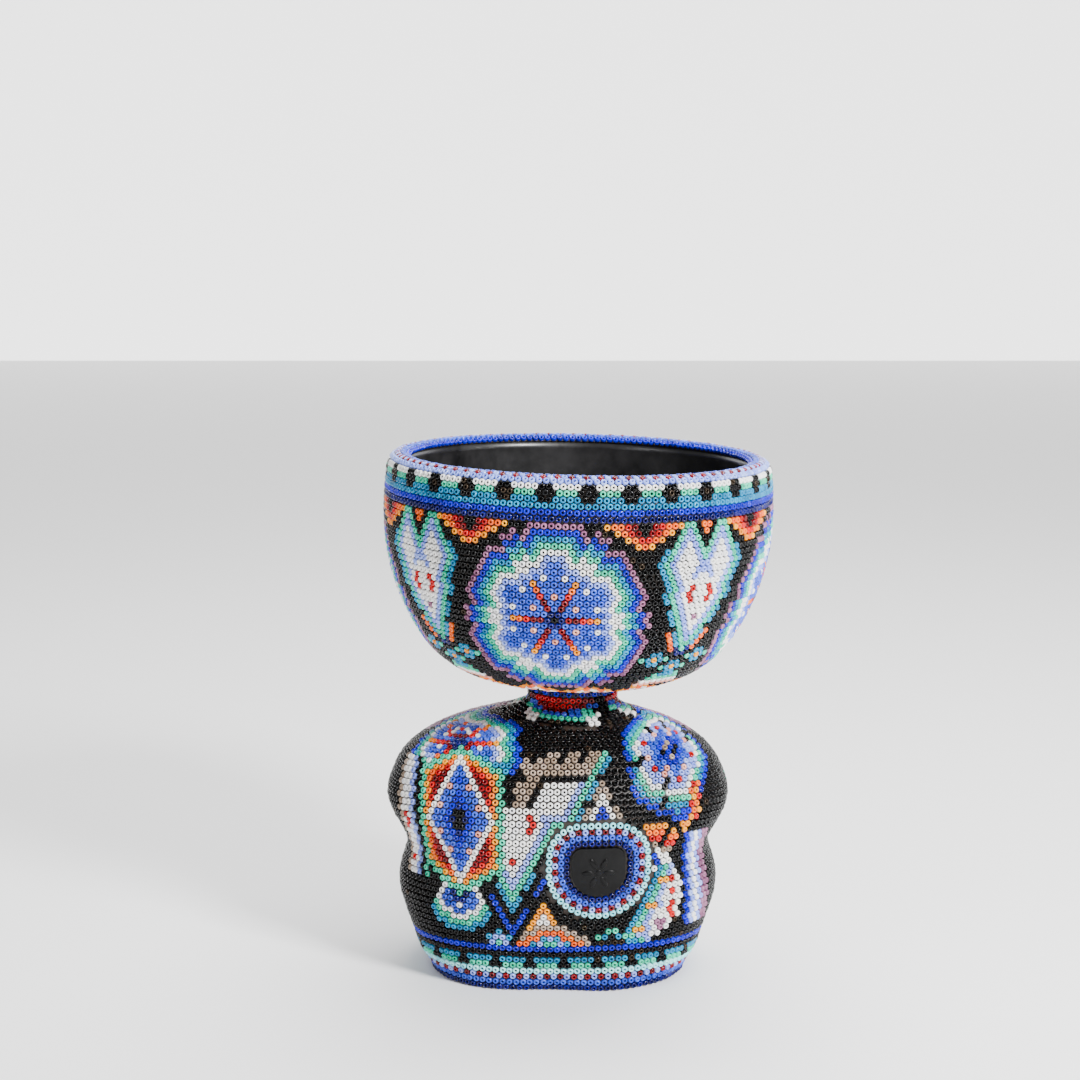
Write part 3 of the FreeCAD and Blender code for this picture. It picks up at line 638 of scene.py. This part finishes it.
    def patch(self, row: int, corner: str | None, quarter: str) -> dict[float, tuple[str, str]]:
        """Look up what a motif has in one row.

        Args:
            row: The field row.
            corner: Name of the deer head, or None for a flower.
            quarter: Name of the flower.

        Returns:
            Letter and CAD node by column from the motif's middle.
        """
        found: dict[float, tuple[str, str]] = {}
        if corner is None:
            down = row - self.flower_row
            for half in range(-32, 33):
                across = half / 2
                if (half + down) % 2 == 0:
                    letter = star_flower(across, down)
                    if letter:
                        found[across] = (letter, "beads_flower_" + quarter)
            return found
        if row <= len(SCALLOP):
            for centre in (-10, 10):
                for column, letter in centred(SCALLOP[row - 1]):
                    found[centre + column] = (letter, "beads_scallops")
        if row <= len(DEER_HEAD):
            for column, letter in centred(DEER_HEAD[row - 1]):
                found[column] = (letter, "beads_deer_" + corner)
        sprig = "beads_sprig_" + corner
        for middle, centre_row in SPRIG_FLOWERS:
            shift = abs(row - centre_row)
            if shift <= 1:
                for column, letter in centred("TT" if shift else "MTYTM"):
                    found[middle + column] = (letter, sprig)
        if 0 <= row - TAIL_ROW < len(SPRIG_TAIL):
            for column, letter in centred(SPRIG_TAIL[row - TAIL_ROW]):
                found[column] = (letter, sprig)
        return found

    def field(self, row: int) -> list[Bead]:
        """Set one row of the field: motifs bead by bead, and ground spread evenly between.

        Args:
            row: The field row.

        Returns:
            The beads.
        """
        spot = self.field_row(row)
        radius = spot[0] + self.half_bead * spot[2]
        pitch = math.degrees(BOWL_PITCH / radius)
        whole = (row - self.flower_row) % 2 == 0
        spans: list[tuple[float, float]] = []
        beads = []
        names = [("back", None), ("back", "back_right"), ("right", None), ("right", "front_right"),
                 ("front", None), ("front", "front_left"), ("left", None), ("left", "back_left")]
        for number, (quarter, corner) in enumerate(names):
            motif = {column: found for column, found in self.patch(row, corner, quarter).items()
                     if (column % 1 == 0) == whole}
            if not motif:
                continue
            middle = self.flower_turn + 45 * number
            reach = max(abs(column) for column in motif)
            steps = round(2 * reach)
            for step in range(steps + 1):
                column = step - reach
                letter, node = motif.get(column, (None, "beads_bowl_ground"))
                beads.append(self.bead(spot, middle + column * pitch,
                                       letter or ground_letter(self.draw), node))
            spans.append((middle - reach * pitch, middle + reach * pitch))
        if not spans:
            return self.plain(row, spot, radius)
        for number, (_, end) in enumerate(spans):
            start = spans[(number + 1) % len(spans)][0] + (360 if number + 1 == len(spans) else 0)
            gaps = max(1, round((start - end) / pitch))
            for step in range(1, gaps):
                turn = end + (start - end) * step / gaps
                beads.append(self.bead(spot, turn, ground_letter(self.draw), "beads_bowl_ground"))
        return beads

    def plain(self, row: int, spot: tuple[float, ...], radius: float) -> list[Bead]:
        """Set one of the rows near the foot.

        Args:
            row: The field row.
            spot: Radius, height and outward direction.
            radius: Radius at half the bead's height.

        Returns:
            The beads.
        """
        count = 8 * round(math.tau * radius / BOWL_PITCH / 8)
        if radius < 22.0:
            letters = "CN" if radius > 20.0 else "K"
            return self.ring(spot, count, 0.5 * (row % 2), letters, "beads_foot_rows")
        repeat = ""
        for step in range(8):
            away = abs(step - 4) - (row - ZIGZAG_ROW) % 5
            repeat += {0: "O", 1: "Y", -1: "W", -2: "I"}.get(away, "K")
        node = "beads_foot_zigzag" if radius < 31.5 else "beads_bowl_ground"
        return self.ring(spot, count, 0.5 * (row % 2), repeat, node)

    def build(self) -> list[Bead]:
        """Set all the beads of the bowl.

        Returns:
            The beads.
        """
        beads = self.rim()
        for row in range(1, self.last_row + 1):
            beads += self.field(row)
        return beads


# ---------------------------------------------------------------- figure

# rows up from the table: what each row of the border repeats
BORDER = (("navy", "N"), ("periwinkle", "P"), ("checks", "DL"), ("pale", "A"), ("mint", "MMMKK"),
          ("turquoise", "TTTTZ"), ("black", "KZK"), ("cobalt", "C"))
# charts of the back: row, first column, letters. Even rows have half columns.
ANTLERED_DEER = """39 0 UU.UU.UUM;38 -3.5 U.UUU.UU.UUMT;37 -4 UUUUUUUUUUUMT;36 -3.5 UUUUUUUUUUMT
35 -3 UU.......M;34 -4.5 UUU.WWWWWLMT;33 -5 UUU.WWWWWLMT;32 -4.5 UU.WWWWWLMT;31 -5 UU.WWWWWLM
30 -7.5 MWWWWWWWWWLMT;29 -7 MWWWRWLLLLMT;28 -7.5 MWWWWRWLMMMT;27 -7 MWWWRWLM;26 -7.5 MWWWWWLM
25 -7 MWWWWLM;24 -7.5 MWWWWLM;23 -7 MWWWLM;22 -7.5 MWRWLM;21 -7 MWWLM;20 -8.5 MMLWLMT
19 -7 MLLMT;18 -7.5 TMLMT;17 -7 TMM;16 -6.5 TMT;15 -6 TT;14 -5.5 T;19 -1 C;18 -1.5 C;17 -2 C"""
COBALT_FORK = """16 -8.5 C;15 -8 C;14 -7.5 C;14 -3.5 C;13 -7 C;13 -4 C;12 -6.5 C;12 -4.5 C;11 -6 CC
10 -5.5 C"""
MOUNTAIN = """15 -1 Y;14 -1.5 YY;13 -2 YWY;12 -2.5 YWWY;11 -3 YUUUUU;10 -3.5 UUOOOOUU
9 -4 UOOTLTOOUU;8 -4.5 OOTLMMLTOOU;10 -7.5 T;9 -9 TLLT;8 -8.5 LML;10 8.5 MM;9 7 MTZTM;8 7.5 ZZZZ"""
TEPEE = "34 7.5 U;33 7 UU;32 6.5 UWU;31 7 WW;30 5.5 UWCWU;29 5 UWCCWU"
FEATHERS = """27 14 YYYY;27 20 YY;26 14.5 OOO;26 18.5 Y;26 20.5 Y;25 15 RR;25 18 OO;24 15.5 U
24 17.5 RR;23 17 UU;33 22 RO;32 21.5 OY;31 22 YR;30 21.5 RO;29 22 OY;28 21.5 YR"""
FLANK_DEER = """23 15 WW;22 15.5 CWW;21 15 CCWW;20 14.5 CWTML;19 15 WTMLW;18 15.5 TYYRW;17 15 TMLWWW
16 14.5 TMLWRW;15 14 TMLWWWW;14 13.5 TYYLWRW;13 13 TMLWWRW;12 12.5 TMLWWWRW;11 12 TMLWVVW
10 11.5 TYYLWVW;9 11 TMLLWW;8 11.5 TTML"""
# what shows of the two sides: each row of the pair repeats up the edge
LEFT_EDGE = """{odd} -26 KUWWLKM;{even} -25.5 KUWWLKM"""
RIGHT_EDGE = """{odd} 21 CLWLVV;{even} 21.5 CLWLVV"""
# the same, for motifs that mirror about the column -13.5: row, and half of the letters
LOZENGE = """28 KNCPPWM;27 KCPPWYM;26 NCPIWOM;25 CPPWRYM;24 CPPWDOM;23 PIWDRYM;22 CPWDDOM;21 PWDROYM
20 PWROYMM;19 WOYMM;18 WYMM;17 MM;16 M;29 KCPPWYM;30 NCPIWOM;31 CPPWRYM;32 CPPWDOM;33 PIWDRYM
34 CPWDDOM;35 PWDROYM;36 PWROYMM;37 WOYMM;38 WYMM;39 MM;40 M"""
DROP = "17 MMW;16 MNPW;15 NPPW;14 WPPWM;13 PWWMT;12 WWMMT;11 MMTT;10 TTT"
LOZENGE_COLUMN = -13.5
# rows of the collar, from under the bowl down; each is centred on three sides of the neck
COLLAR = ("NNNNNNNNNNNNNN", "CNCNCNCNCNCNCN", "DDRRRRRRRRDD", "PPDDRRRRDDPP", "MPPDDDDDPPMM", "WMMPPPPPPMMW",
          "WWWMMMMMMMWW", "W....W....W")


def rows_of(text: str) -> list[list[str]]:
    """Split a chart into its entries.

    Args:
        text: Entries parted by semicolons or line ends.

    Returns:
        The words of each entry.
    """
    return [entry.split() for entry in text.replace("\n", ";").split(";") if entry.strip()]


def back_chart() -> dict[tuple[int, float], tuple[str, str]]:
    """Gather the charts of the back.

    Returns:
        Letter and CAD node by row and column.
    """
    chart: dict[tuple[int, float], tuple[str, str]] = {}
    for text, node in ((FEATHERS, "beads_feathers"), (FLANK_DEER, "beads_flank_deer"),
                       (MOUNTAIN, "beads_mountain"), (COBALT_FORK, "beads_mountain"),
                       (TEPEE, "beads_figure_ground"), (ANTLERED_DEER, "beads_deer_and_antler")):
        for row, start, letters in rows_of(text):
            for step, letter in enumerate(letters):
                if letter != ".":
                    chart[(int(row), float(start) + step)] = (letter, node)
    for text, node in ((DROP, "beads_drop"), (LOZENGE, "beads_lozenge")):
        for row, letters in rows_of(text):
            first = 0.0 if int(row) % 2 == 0 else 0.5
            for step, letter in enumerate(letters):
                for side in (-1, 1):
                    column = LOZENGE_COLUMN + side * (first + step)
                    chart[(int(row), column)] = (letter, node)
    for row, column in ((36, -6.5), (37, -8.0), (37, -7.0), (38, -9.5)):
        chart[(row, column)] = ("T", "beads_lozenge")
    for text, rows in ((LEFT_EDGE, range(18, 37, 2)), (RIGHT_EDGE, range(10, 25, 2))):
        for low in rows:
            for row, start, letters in rows_of(text.format(odd=low + 1, even=low)):
                for step, letter in enumerate(letters):
                    spot = (int(row), float(start) + step)
                    chart.setdefault(spot, (letter, "beads_figure_ground"))
    for row, column in ((27, -23), (28, -23.5), (26, -23.5), (20, -23.5)):
        chart[(row, column)] = ("R", "beads_figure_ground")
    return chart


def rayed(across: float, up: float, rays: int) -> str | None:
    """Colour one bead of a round flower with rays.

    Args:
        across: Beads right of its middle.
        up: Beads above its middle.
        rays: How many rays it has.

    Returns:
        The chart letter, or None outside the flower.
    """
    distance, turn = math.hypot(across, up), math.atan2(up, across)
    sector = math.tau / rays
    away = abs((turn + sector / 2) % sector - sector / 2)
    reach = distance * (1 + 0.05 * math.cos(rays * turn))
    if distance < 1.5:
        return "N"
    if away * distance < 0.5 and distance < 6.4:
        return "DRROY"[min(4, int(distance - 1.4))]
    if reach < 5.4:
        return "W" if abs(distance - 3.4) < 0.5 and sector / 2 - away < 0.17 else "P"
    for limit, letter in ((6.3, "L"), (7.2, "W"), (8.1, "M"), (9.0, "T"), (RAYED_REACH, "C")):
        if reach < limit:
            return letter
    return None


def lobed(across: float, up: float) -> str | None:
    """Colour one bead of the six-petalled flower on the right shoulder.

    Args:
        across: Beads right of its middle.
        up: Beads above its middle.

    Returns:
        The chart letter, or None outside the flower.
    """
    near = math.hypot(across, up)
    squeeze = 1 + 0.42 * min(1.0, near / 7)
    distance, turn = math.hypot(across * squeeze, up), math.atan2(up, across * squeeze)
    sector = math.tau / 6
    away = abs((turn - math.pi / 4 + sector / 2) % sector - sector / 2)
    reach = distance + 0.8 * (1 - math.cos(6 * away)) / 2
    if distance < 0.6:
        return "C"
    if distance < 1.6:
        return "U" if away < 0.26 else "K"
    if distance < 2.5:
        return "C"
    if (sector / 2 - away) * distance < 0.5 and 3.2 < distance < 9.6:
        return "I" if distance < 5.2 else "K"
    if abs(distance - 5.2) < 0.5 and away * distance < 0.6:
        return "R"
    for limit, letter in ((4.4, "P"), (7.0, "L"), (8.1, "W"), (9.1, "M"), (10.1, "T"),
                          (11.3, "C")):
        if reach < limit:
            return letter
    return None


def facing(degrees: float) -> tuple[Vector, Vector]:
    """Give the level directions outwards and to the right at a turn from the back.

    Args:
        degrees: The turn.

    Returns:
        The outward and the sideways direction.
    """
    angle = math.radians(degrees)
    return (Vector((math.sin(angle), -math.cos(angle), 0.0)),
            Vector((math.cos(angle), math.sin(angle), 0.0)))


def tree_of(item: bpy.types.Object) -> BVHTree:
    """Make a search tree of an object's faces, in millimetres.

    Args:
        item: The object.

    Returns:
        The tree.
    """
    points = [vertex.co / MM for vertex in item.data.vertices]
    return BVHTree.FromPolygons(points, [tuple(face.vertices) for face in item.data.polygons])


@dataclass
class Skin:
    """The wax over the figure, found by level rays from outside."""

    wax: bpy.types.Object
    clay: bpy.types.Object
    thickness: float = 0.8
    reach: float = 95.0
    middle: tuple[float, float] = (FIGURE_X, 3.0)
    turns: int = 240
    low: float = 0.5
    high: float = 95.6
    steps: int = 160
    tree: BVHTree = field(init=False)
    grid: np.ndarray = field(init=False)
    lengths: np.ndarray = field(init=False)

    def __post_init__(self) -> None:
        self.tree = tree_of(self.wax)
        solid = tree_of(self.clay)
        self.grid = np.zeros((self.turns, self.steps, 3))
        for number in range(self.turns):
            out, _ = facing(360 * number / self.turns)
            for step in range(self.steps):
                level = self.low + (self.high - self.low) * step / (self.steps - 1)
                start = Vector((*self.middle, level)) + out * self.reach
                hit, normal, _, _ = solid.ray_cast(start, -out)
                self.grid[number, step] = hit + normal * self.thickness
        spans = np.linalg.norm(np.diff(self.grid, axis=1), axis=2)
        self.lengths = np.concatenate([np.zeros((self.turns, 1)), np.cumsum(spans, axis=1)], axis=1)

    def row(self, length: float, from_top: bool = False) -> np.ndarray:
        """Find the places a given way along the surface, all round.

        Args:
            length: Millimetres up from the hem, or down from the top of the neck.
            from_top: True to count from the top.

        Returns:
            One place per turn.
        """
        out = np.zeros((self.turns, 3))
        for number in range(self.turns):
            along = self.lengths[number, -1] - length if from_top else length
            for axis in range(3):
                out[number, axis] = np.interp(along, self.lengths[number],
                                              self.grid[number, :, axis])
        return out

    def settle(self, place: Vector) -> tuple[Vector, Vector]:
        """Press a place on to the wax.

        Args:
            place: A place near the surface.

        Returns:
            The place on the surface, and the outward direction.
        """
        found, normal, _, _ = self.tree.find_nearest(place)
        out = Vector((place.x - self.middle[0], place.y - self.middle[1], 0.0))
        if normal.dot(out) < 0 and normal.z < 0.5:
            outside = place + out.normalized() * 20
            hit = self.tree.ray_cast(outside, -out.normalized())
            if hit[0]:
                found, normal = hit[0], hit[1]
        return found, normal


@dataclass
class PlaqueRings:
    """The rings of beads round the plaque, and the rosette on it."""

    middle: tuple[float, float] = (6.0, 41.4)
    half_width: float = 8.5
    half_height: float = 7.8
    corner: float = 3.4
    gap: float = 0.4
    ring: float = 1.85
    rows: tuple[tuple[str, str], ...] = (("navy", "N"), ("periwinkle", "P"), ("checks", "DL"),
                                         ("pale", "A"))

    def outline(self, grow: float, count: int = 360) -> list[tuple[float, float]]:
        """Follow the shield at a distance: flat top, rounded corners, round bottom.

        Args:
            grow: How far outside the plaque.
            count: How many places.

        Returns:
            Places across and up.
        """
        wide, tall = self.half_width + grow, self.half_height + grow
        corner = self.corner + grow
        places = []
        for number in range(count):
            turn = math.tau * number / count
            side, rise = math.cos(turn), math.sin(turn)
            if rise < 0:
                places.append((wide * side, tall * rise))
                continue
            reach = min(wide / max(abs(side), 1e-6), tall / max(rise, 1e-6))
            x, z = reach * side, reach * rise
            over_x, over_z = abs(x) - (wide - corner), z - (tall - corner)
            if over_x > 0 and over_z > 0:
                low, high = 0.0, reach
                for _ in range(30):
                    mid = (low + high) / 2
                    away = math.hypot(max(0.0, mid * abs(side) - wide + corner),
                                      max(0.0, mid * rise - tall + corner))
                    low, high = (mid, high) if away < corner else (low, mid)
                x, z = low * side, low * rise
            places.append((x, z))
        return [(self.middle[0] + x, self.middle[1] + z) for x, z in places]

    def beads(self, skin: Skin) -> list[Bead]:
        """Set the four rings.

        Args:
            skin: The wax.

        Returns:
            The beads.
        """
        beads = []
        for number, (name, letters) in enumerate(self.rows):
            line = self.outline(self.gap + self.ring * (number + 0.5))
            walk = [0.0]
            for one, two in zip(line, line[1:] + line[:1]):
                walk.append(walk[-1] + math.dist(one, two))
            pitch = 2.26 if letters == "A" else 2.1
            count = 2 * round(walk[-1] / pitch / 2)
            xs = [x for x, _ in line] + [line[0][0]]
            zs = [z for _, z in line] + [line[0][1]]
            for step in range(count):
                along = walk[-1] * (step + 0.5 * (number % 2)) / count
                x, z = np.interp(along, walk, xs), np.interp(along, walk, zs)
                hit = skin.tree.ray_cast(Vector((x, OUTSIDE_Y, z)), INWARDS)
                if hit[0]:
                    beads.append(Bead(hit[0], hit[1], letters[step % len(letters)],
                                      f"beads_plaque_{number + 1}_{name}",
                                      1.06 if letters == "A" else 1.0))
        return beads

    def holds(self, place: Vector) -> bool:
        """Tell whether a bead would lie on the plaque or its rings.

        Args:
            place: The bead.

        Returns:
            True if it would.
        """
        if place.y > 0:
            return False
        grow = self.gap + self.ring * len(self.rows) - 0.5
        wide, tall, corner = (self.half_width + grow, self.half_height + grow, self.corner + grow)
        x, z = abs(place.x - self.middle[0]), place.z - self.middle[1]
        if z < 0:
            return math.hypot(x / wide, z / tall) < 1
        if x > wide or z > tall:
            return False
        over_x, over_z = x - (wide - corner), z - (tall - corner)
        return over_x < 0 or over_z < 0 or math.hypot(over_x, over_z) < corner


@dataclass
class FigureBeads:
    """The rows of beads on the figure."""

    skin: Skin
    plaque: PlaqueRings
    draw: random.Random
    column_x: float = -9.0
    # from the hem to the first row, and from the top of the neck to the first ring of the collar
    hem: float = 0.75
    collar_top: float = 1.6
    throat: float = 85.0
    ridge: float = 75.5
    clearance: float = 1.8
    lattice: int = 27
    rows: int = 60
    chart: dict[tuple[int, float], tuple[str, str]] = field(default_factory=back_chart)
    # where the mauve ridge and the scattered flowers begin, and the size of those flowers
    ridge_start: float = 4.0
    scatter_start: float = -12.0
    petals: float = 3.1
    eye: float = 1.15
    # round flowers on shins and knees: degrees from the back, height, radius, rays, CAD node
    round_flowers: tuple[tuple[float, float, float, int, str], ...] = (
        (180.0, 36.0, 13.4, 6, "beads_shin_flower"),
        (149.0, 62.0, 9.6, 8, "beads_knee_right"),
        (211.0, 62.0, 9.6, 8, "beads_knee_left"))
    # small flowers scattered over the unseen sides: degrees from the back, height, petal letter
    scattered: tuple[tuple[float, float, str], ...] = (
        (100, 30, "T"), (118, 46, "Y"), (95, 60, "M"), (112, 22, "I"), (135, 34, "T"),
        (160, 74, "Y"), (180, 66, "M"), (200, 74, "I"), (225, 34, "Y"), (248, 22, "T"),
        (242, 46, "M"), (262, 60, "Y"), (258, 30, "I"), (180, 20, "T"))

    def front_motif(self, place: Vector) -> tuple[str, str] | None:
        """Look up the round motifs of the front and the scattered flowers.

        Args:
            place: The bead.

        Returns:
            Letter and CAD node, or None.
        """
        for turn, level, radius, rays, node in self.round_flowers:
            spot = self.flat(place, turn, level)
            scale = RAYED_REACH / radius
            letter = rayed(spot[0] * scale, spot[1] * scale, rays) if spot else None
            if letter:
                return letter, node
        if place.y > self.ridge_start and place.z > self.ridge:
            return "V", "beads_figure_ground"
        if place.y > self.scatter_start:
            for turn, level, petal in self.scattered:
                spot = self.flat(place, turn, level)
                if spot and math.hypot(*spot) < self.petals:
                    letter = "O" if math.hypot(*spot) < self.eye else petal
                    return letter, "beads_figure_ground"
        return None

    @staticmethod
    def flat(place: Vector, turn: float, level: float) -> tuple[float, float] | None:
        """Measure a bead from a spot on the side of the figure, as seen from straight outside.

        Args:
            place: The bead.
            turn: Degrees of the spot from the back.
            level: Height of the spot.

        Returns:
            How far across and up, or None where the bead is on another side.
        """
        out, aside = facing(turn)
        away = place - Vector((FIGURE_X, 0.0, level))
        return (away.dot(aside), away.z) if away.dot(out) > FIGURE_CORE else None

    def shoulder_motif(self, row: int, column: float) -> tuple[str, str] | None:
        """Look up the two flowers on the shoulders.

        Args:
            row: The row up from the table.
            column: The column on the back.

        Returns:
            Letter and CAD node, or None.
        """
        share = FIGURE_ROW / FIGURE_PITCH
        letter = rayed(column + 14.0, (row - 41.3) * share, 8)
        if letter:
            return letter, "beads_shoulder_left"
        letter = lobed(column - 18.3, (row - 39.5) * share)
        return (letter, "beads_shoulder_right") if letter else None

    def columns(self, line: np.ndarray, row: int) -> list[tuple[float, Vector]]:
        """Space a row: an even honeycomb over the back, and the rest closed evenly round the front.

        Args:
            line: One place per turn.
            row: The row up from the table.

        Returns:
            Column and place of each bead.
        """
        start = next(number for number in range(len(line) * 3 // 4, len(line) * 5 // 4)
                     if line[number % len(line)][0] >= self.column_x)
        ring = np.roll(line, -(start % len(line)), axis=0)
        ring = np.concatenate([ring, ring[:1]])
        walk = np.concatenate([[0.0], np.cumsum(np.linalg.norm(np.diff(ring, axis=0), axis=1))])
        total = walk[-1]
        shift = 0.5 if row % 2 == 0 else 0.0
        first, last = -self.lattice + shift, self.lattice - shift
        marks = [(first + step, (first + step) * FIGURE_PITCH)
                 for step in range(round(last - first) + 1)]
        span = total - (last - first) * FIGURE_PITCH
        gaps = round(span / FIGURE_PITCH)
        marks += [(99.0, last * FIGURE_PITCH + span * step / gaps) for step in range(1, gaps)]
        ahead = (self.column_x - ring[0][0])
        out = []
        for column, along in marks:
            spot = (along + ahead) % total
            out.append((column, Vector([float(np.interp(spot, walk, ring[:, axis]))
                                        for axis in range(3)])))
        return out

    def letter_of(self, row: int, column: float, place: Vector) -> tuple[str, str]:
        """Choose a bead's colour and the CAD node it belongs to.

        Args:
            row: The row up from the table.
            column: The column on the back.
            place: The bead.

        Returns:
            Letter and CAD node.
        """
        found = self.chart.get((row, column)) or self.shoulder_motif(row, column)
        found = found or self.front_motif(place)
        return found or (ground_letter(self.draw), "beads_figure_ground")

    def collar(self) -> list[Bead]:
        """Set the collar, ring by ring down from the bowl.

        Returns:
            The beads.
        """
        beads = []
        for number, letters in enumerate(COLLAR):
            line = self.skin.row(self.collar_top + FIGURE_ROW * number, from_top=True)
            ring = np.concatenate([line, line[:1]])
            walk = np.concatenate([[0.0], np.cumsum(np.linalg.norm(np.diff(ring, axis=0), axis=1))])
            side = max(len(COLLAR[0]), round(walk[-1] / FIGURE_PITCH / 3))
            for step in range(3 * side):
                column = (step % side) - (side - 1) / 2 + (len(letters) - 1) / 2
                letter = letters[round(column)] if 0 <= round(column) < len(letters) else "K"
                letter = ground_letter(self.draw) if letter in "K." else letter
                along = walk[-1] * ((step - (side - 1) / 2 + 0.5 * (number % 2))
                                    % (3 * side)) / (3 * side)
                place = Vector([float(np.interp(along, walk, ring[:, axis])) for axis in range(3)])
                found, normal = self.skin.settle(place)
                beads.append(Bead(found, normal, letter, "beads_neck_collar", 0.97))
        return beads

    def build(self) -> list[Bead]:
        """Set all the beads of the figure.

        Returns:
            The beads.
        """
        beads = self.plaque.beads(self.skin) + self.collar()
        pinned = KDTree(len(beads))
        for number, bead in enumerate(beads):
            pinned.insert(bead.place, number)
        pinned.balance()
        for row in range(self.rows):
            line = self.skin.row(self.hem + FIGURE_ROW * row)
            if line[:, 2].min() > self.throat:
                break
            border = row < len(BORDER)
            for step, (column, place) in enumerate(self.columns(line, row)):
                found, normal = self.skin.settle(place)
                if found.z > self.throat or self.plaque.holds(found):
                    continue
                if pinned.find(found)[2] < self.clearance:
                    continue
                if border:
                    name, repeat = BORDER[row]
                    letter, node = repeat[step % len(repeat)], f"beads_border_{row + 1}_{name}"
                else:
                    letter, node = self.letter_of(row, column, found)
                beads.append(Bead(found, normal, letter, node, 1.05 if letter == "A" else 1.0))
        return beads


# ---------------------------------------------------------------- plaque relief


@dataclass
class Rosette:
    """A plain rosette of six leaves round a boss, raised on the plaque."""

    plaque: PlaqueRings
    leaf: tuple[float, float, float] = (1.9, 0.32, 0.85)
    boss: float = 1.1
    reach: float = 3.4

    def build(self, plaque: bpy.types.Object, finish: bpy.types.Material) -> bpy.types.Object:
        """Model the rosette on the face of the plaque.

        Args:
            plaque: The CAD plaque.
            finish: The clay.

        Returns:
            The rosette.
        """
        face = tree_of(plaque)
        bpy.ops.object.select_all(action="DESELECT")
        bpy.ops.mesh.primitive_uv_sphere_add(segments=20, ring_count=10, radius=1.0)
        rosette = bpy.context.object
        rosette.name = "plaque_rosette"
        bpy.ops.object.mode_set(mode="EDIT")
        bpy.ops.mesh.select_all(action="SELECT")
        bpy.ops.transform.resize(value=(self.leaf[0] * MM, self.leaf[1] * MM, self.leaf[2] * MM))
        bpy.ops.transform.translate(value=(self.reach * MM, 0, 0))
        for _ in range(5):
            bpy.ops.mesh.duplicate()
            bpy.ops.transform.rotate(value=math.tau / 6, orient_axis="Y",
                                     center_override=(0, 0, 0))
        bpy.ops.mesh.select_all(action="DESELECT")
        bpy.ops.mesh.primitive_uv_sphere_add(segments=24, ring_count=10, radius=1.0)
        bpy.ops.transform.resize(value=(self.boss * MM, self.leaf[1] * MM, self.boss * MM),
                                 center_override=(0, 0, 0))
        shape = bmesh.from_edit_mesh(rosette.data)
        for vertex in shape.verts:
            x = self.plaque.middle[0] + vertex.co.x / MM
            z = self.plaque.middle[1] + vertex.co.z / MM
            hit = face.ray_cast(Vector((x, OUTSIDE_Y, z)), INWARDS)[0]
            vertex.co = Vector((x * MM, hit.y * MM + vertex.co.y, z * MM))
        bmesh.update_edit_mesh(rosette.data)
        bpy.ops.mesh.select_all(action="SELECT")
        bpy.ops.mesh.faces_shade_smooth()
        bpy.ops.object.mode_set(mode="OBJECT")
        rosette.data.materials.append(finish)
        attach(rosette, BODY)
        return rosette


# ---------------------------------------------------------------- studio


@dataclass
class Studio:
    """A white table and soft lights, and the camera."""

    finishes: Finishes
    eye: tuple[float, float, float] = (-0.0122, -0.708, 0.2516)
    pitch: float = math.radians(8.95)
    lens: float = 74.33

    def lamp(self, name: str, place: tuple[float, float, float], size: tuple[float, float],
             power: float) -> None:
        """Hang one soft box, aimed at the figure.

        Args:
            name: The lamp's name.
            place: Where it hangs.
            size: Its width and height.
            power: Watts.
        """
        light = bpy.data.lights.new(name, "AREA")
        light.shape = "RECTANGLE"
        light.size, light.size_y = size
        light.energy = power
        lamp = bpy.data.objects.new(name, light)
        lamp.location = place
        lamp.rotation_euler = (Vector((0, 0, 0.09)) - Vector(place)).to_track_quat("-Z", "Y").to_euler()
        bpy.context.collection.objects.link(lamp)

    def build(self) -> None:
        """Set up the table, the lights and the camera."""
        bpy.ops.object.select_all(action="DESELECT")
        bpy.ops.mesh.primitive_plane_add(size=8.0)
        table = bpy.context.object
        table.name = "table"
        table.data.materials.append(self.finishes.paper())
        self.lamp("key", (0.6, -0.65, 0.6), (0.22, 0.22), 25.0)
        self.lamp("top", (0.1, 0.2, 0.9), (0.6, 0.6), 11.0)
        self.lamp("fill", (-0.8, -0.6, 0.35), (0.25, 0.5), 2.0)
        bpy.ops.mesh.primitive_plane_add(size=8.0, location=(0, 2.6, 0),
                                         rotation=(math.pi / 2, 0, 0))
        backdrop = bpy.context.object
        backdrop.name = "backdrop"
        backdrop.data.materials.append(self.finishes.lit_cloth())
        world = bpy.data.worlds.new("studio")
        world.use_nodes = True
        world.node_tree.nodes["Background"].inputs["Color"].default_value = linear("ffffff")
        world.node_tree.nodes["Background"].inputs["Strength"].default_value = 0.32
        bpy.context.scene.world = world
        camera_data = bpy.data.cameras.new("camera")
        camera_data.lens = self.lens
        camera_data.sensor_width = 36.0
        camera = bpy.data.objects.new("camera", camera_data)
        camera.location = self.eye
        camera.rotation_euler = (math.pi / 2 - self.pitch, 0, 0)
        bpy.context.collection.objects.link(camera)
        bpy.context.scene.camera = camera


def main() -> None:
    """Dress the CAD object and set up its studio."""
    logging.basicConfig(level=logging.INFO)
    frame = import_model()
    nodes = frame["nodes"]
    draw = random.Random(16)
    finishes = Finishes()
    for node, kind in (("clay_bowl", CLAY), ("clay_figure", CLAY), ("neck_lute", SLIP),
                       ("wax_bowl", WAX_WITH_PAINTED_SHADE), ("wax_figure", WAX_WITH_PAINTED_SHADE), ("maker_plaque", PLAQUE_CLAY)):
        nodes[node].data.materials.clear()
        nodes[node].data.materials.append(finishes.earth(kind))
    plaque = PlaqueRings()
    skin = Skin(nodes["wax_figure"], nodes["clay_figure"])
    beads = BowlBeads(draw).build() + FigureBeads(skin, plaque, draw).build()
    panels = Panels(finishes, BeadMould(), draw).build(beads)
    Rosette(plaque).build(nodes["maker_plaque"], finishes.earth(PLAQUE_CLAY))
    LOG.info("%d beads in %d panels", len(beads), len(panels))
    Studio(finishes).build()


if __name__ == "__main__":
    main()
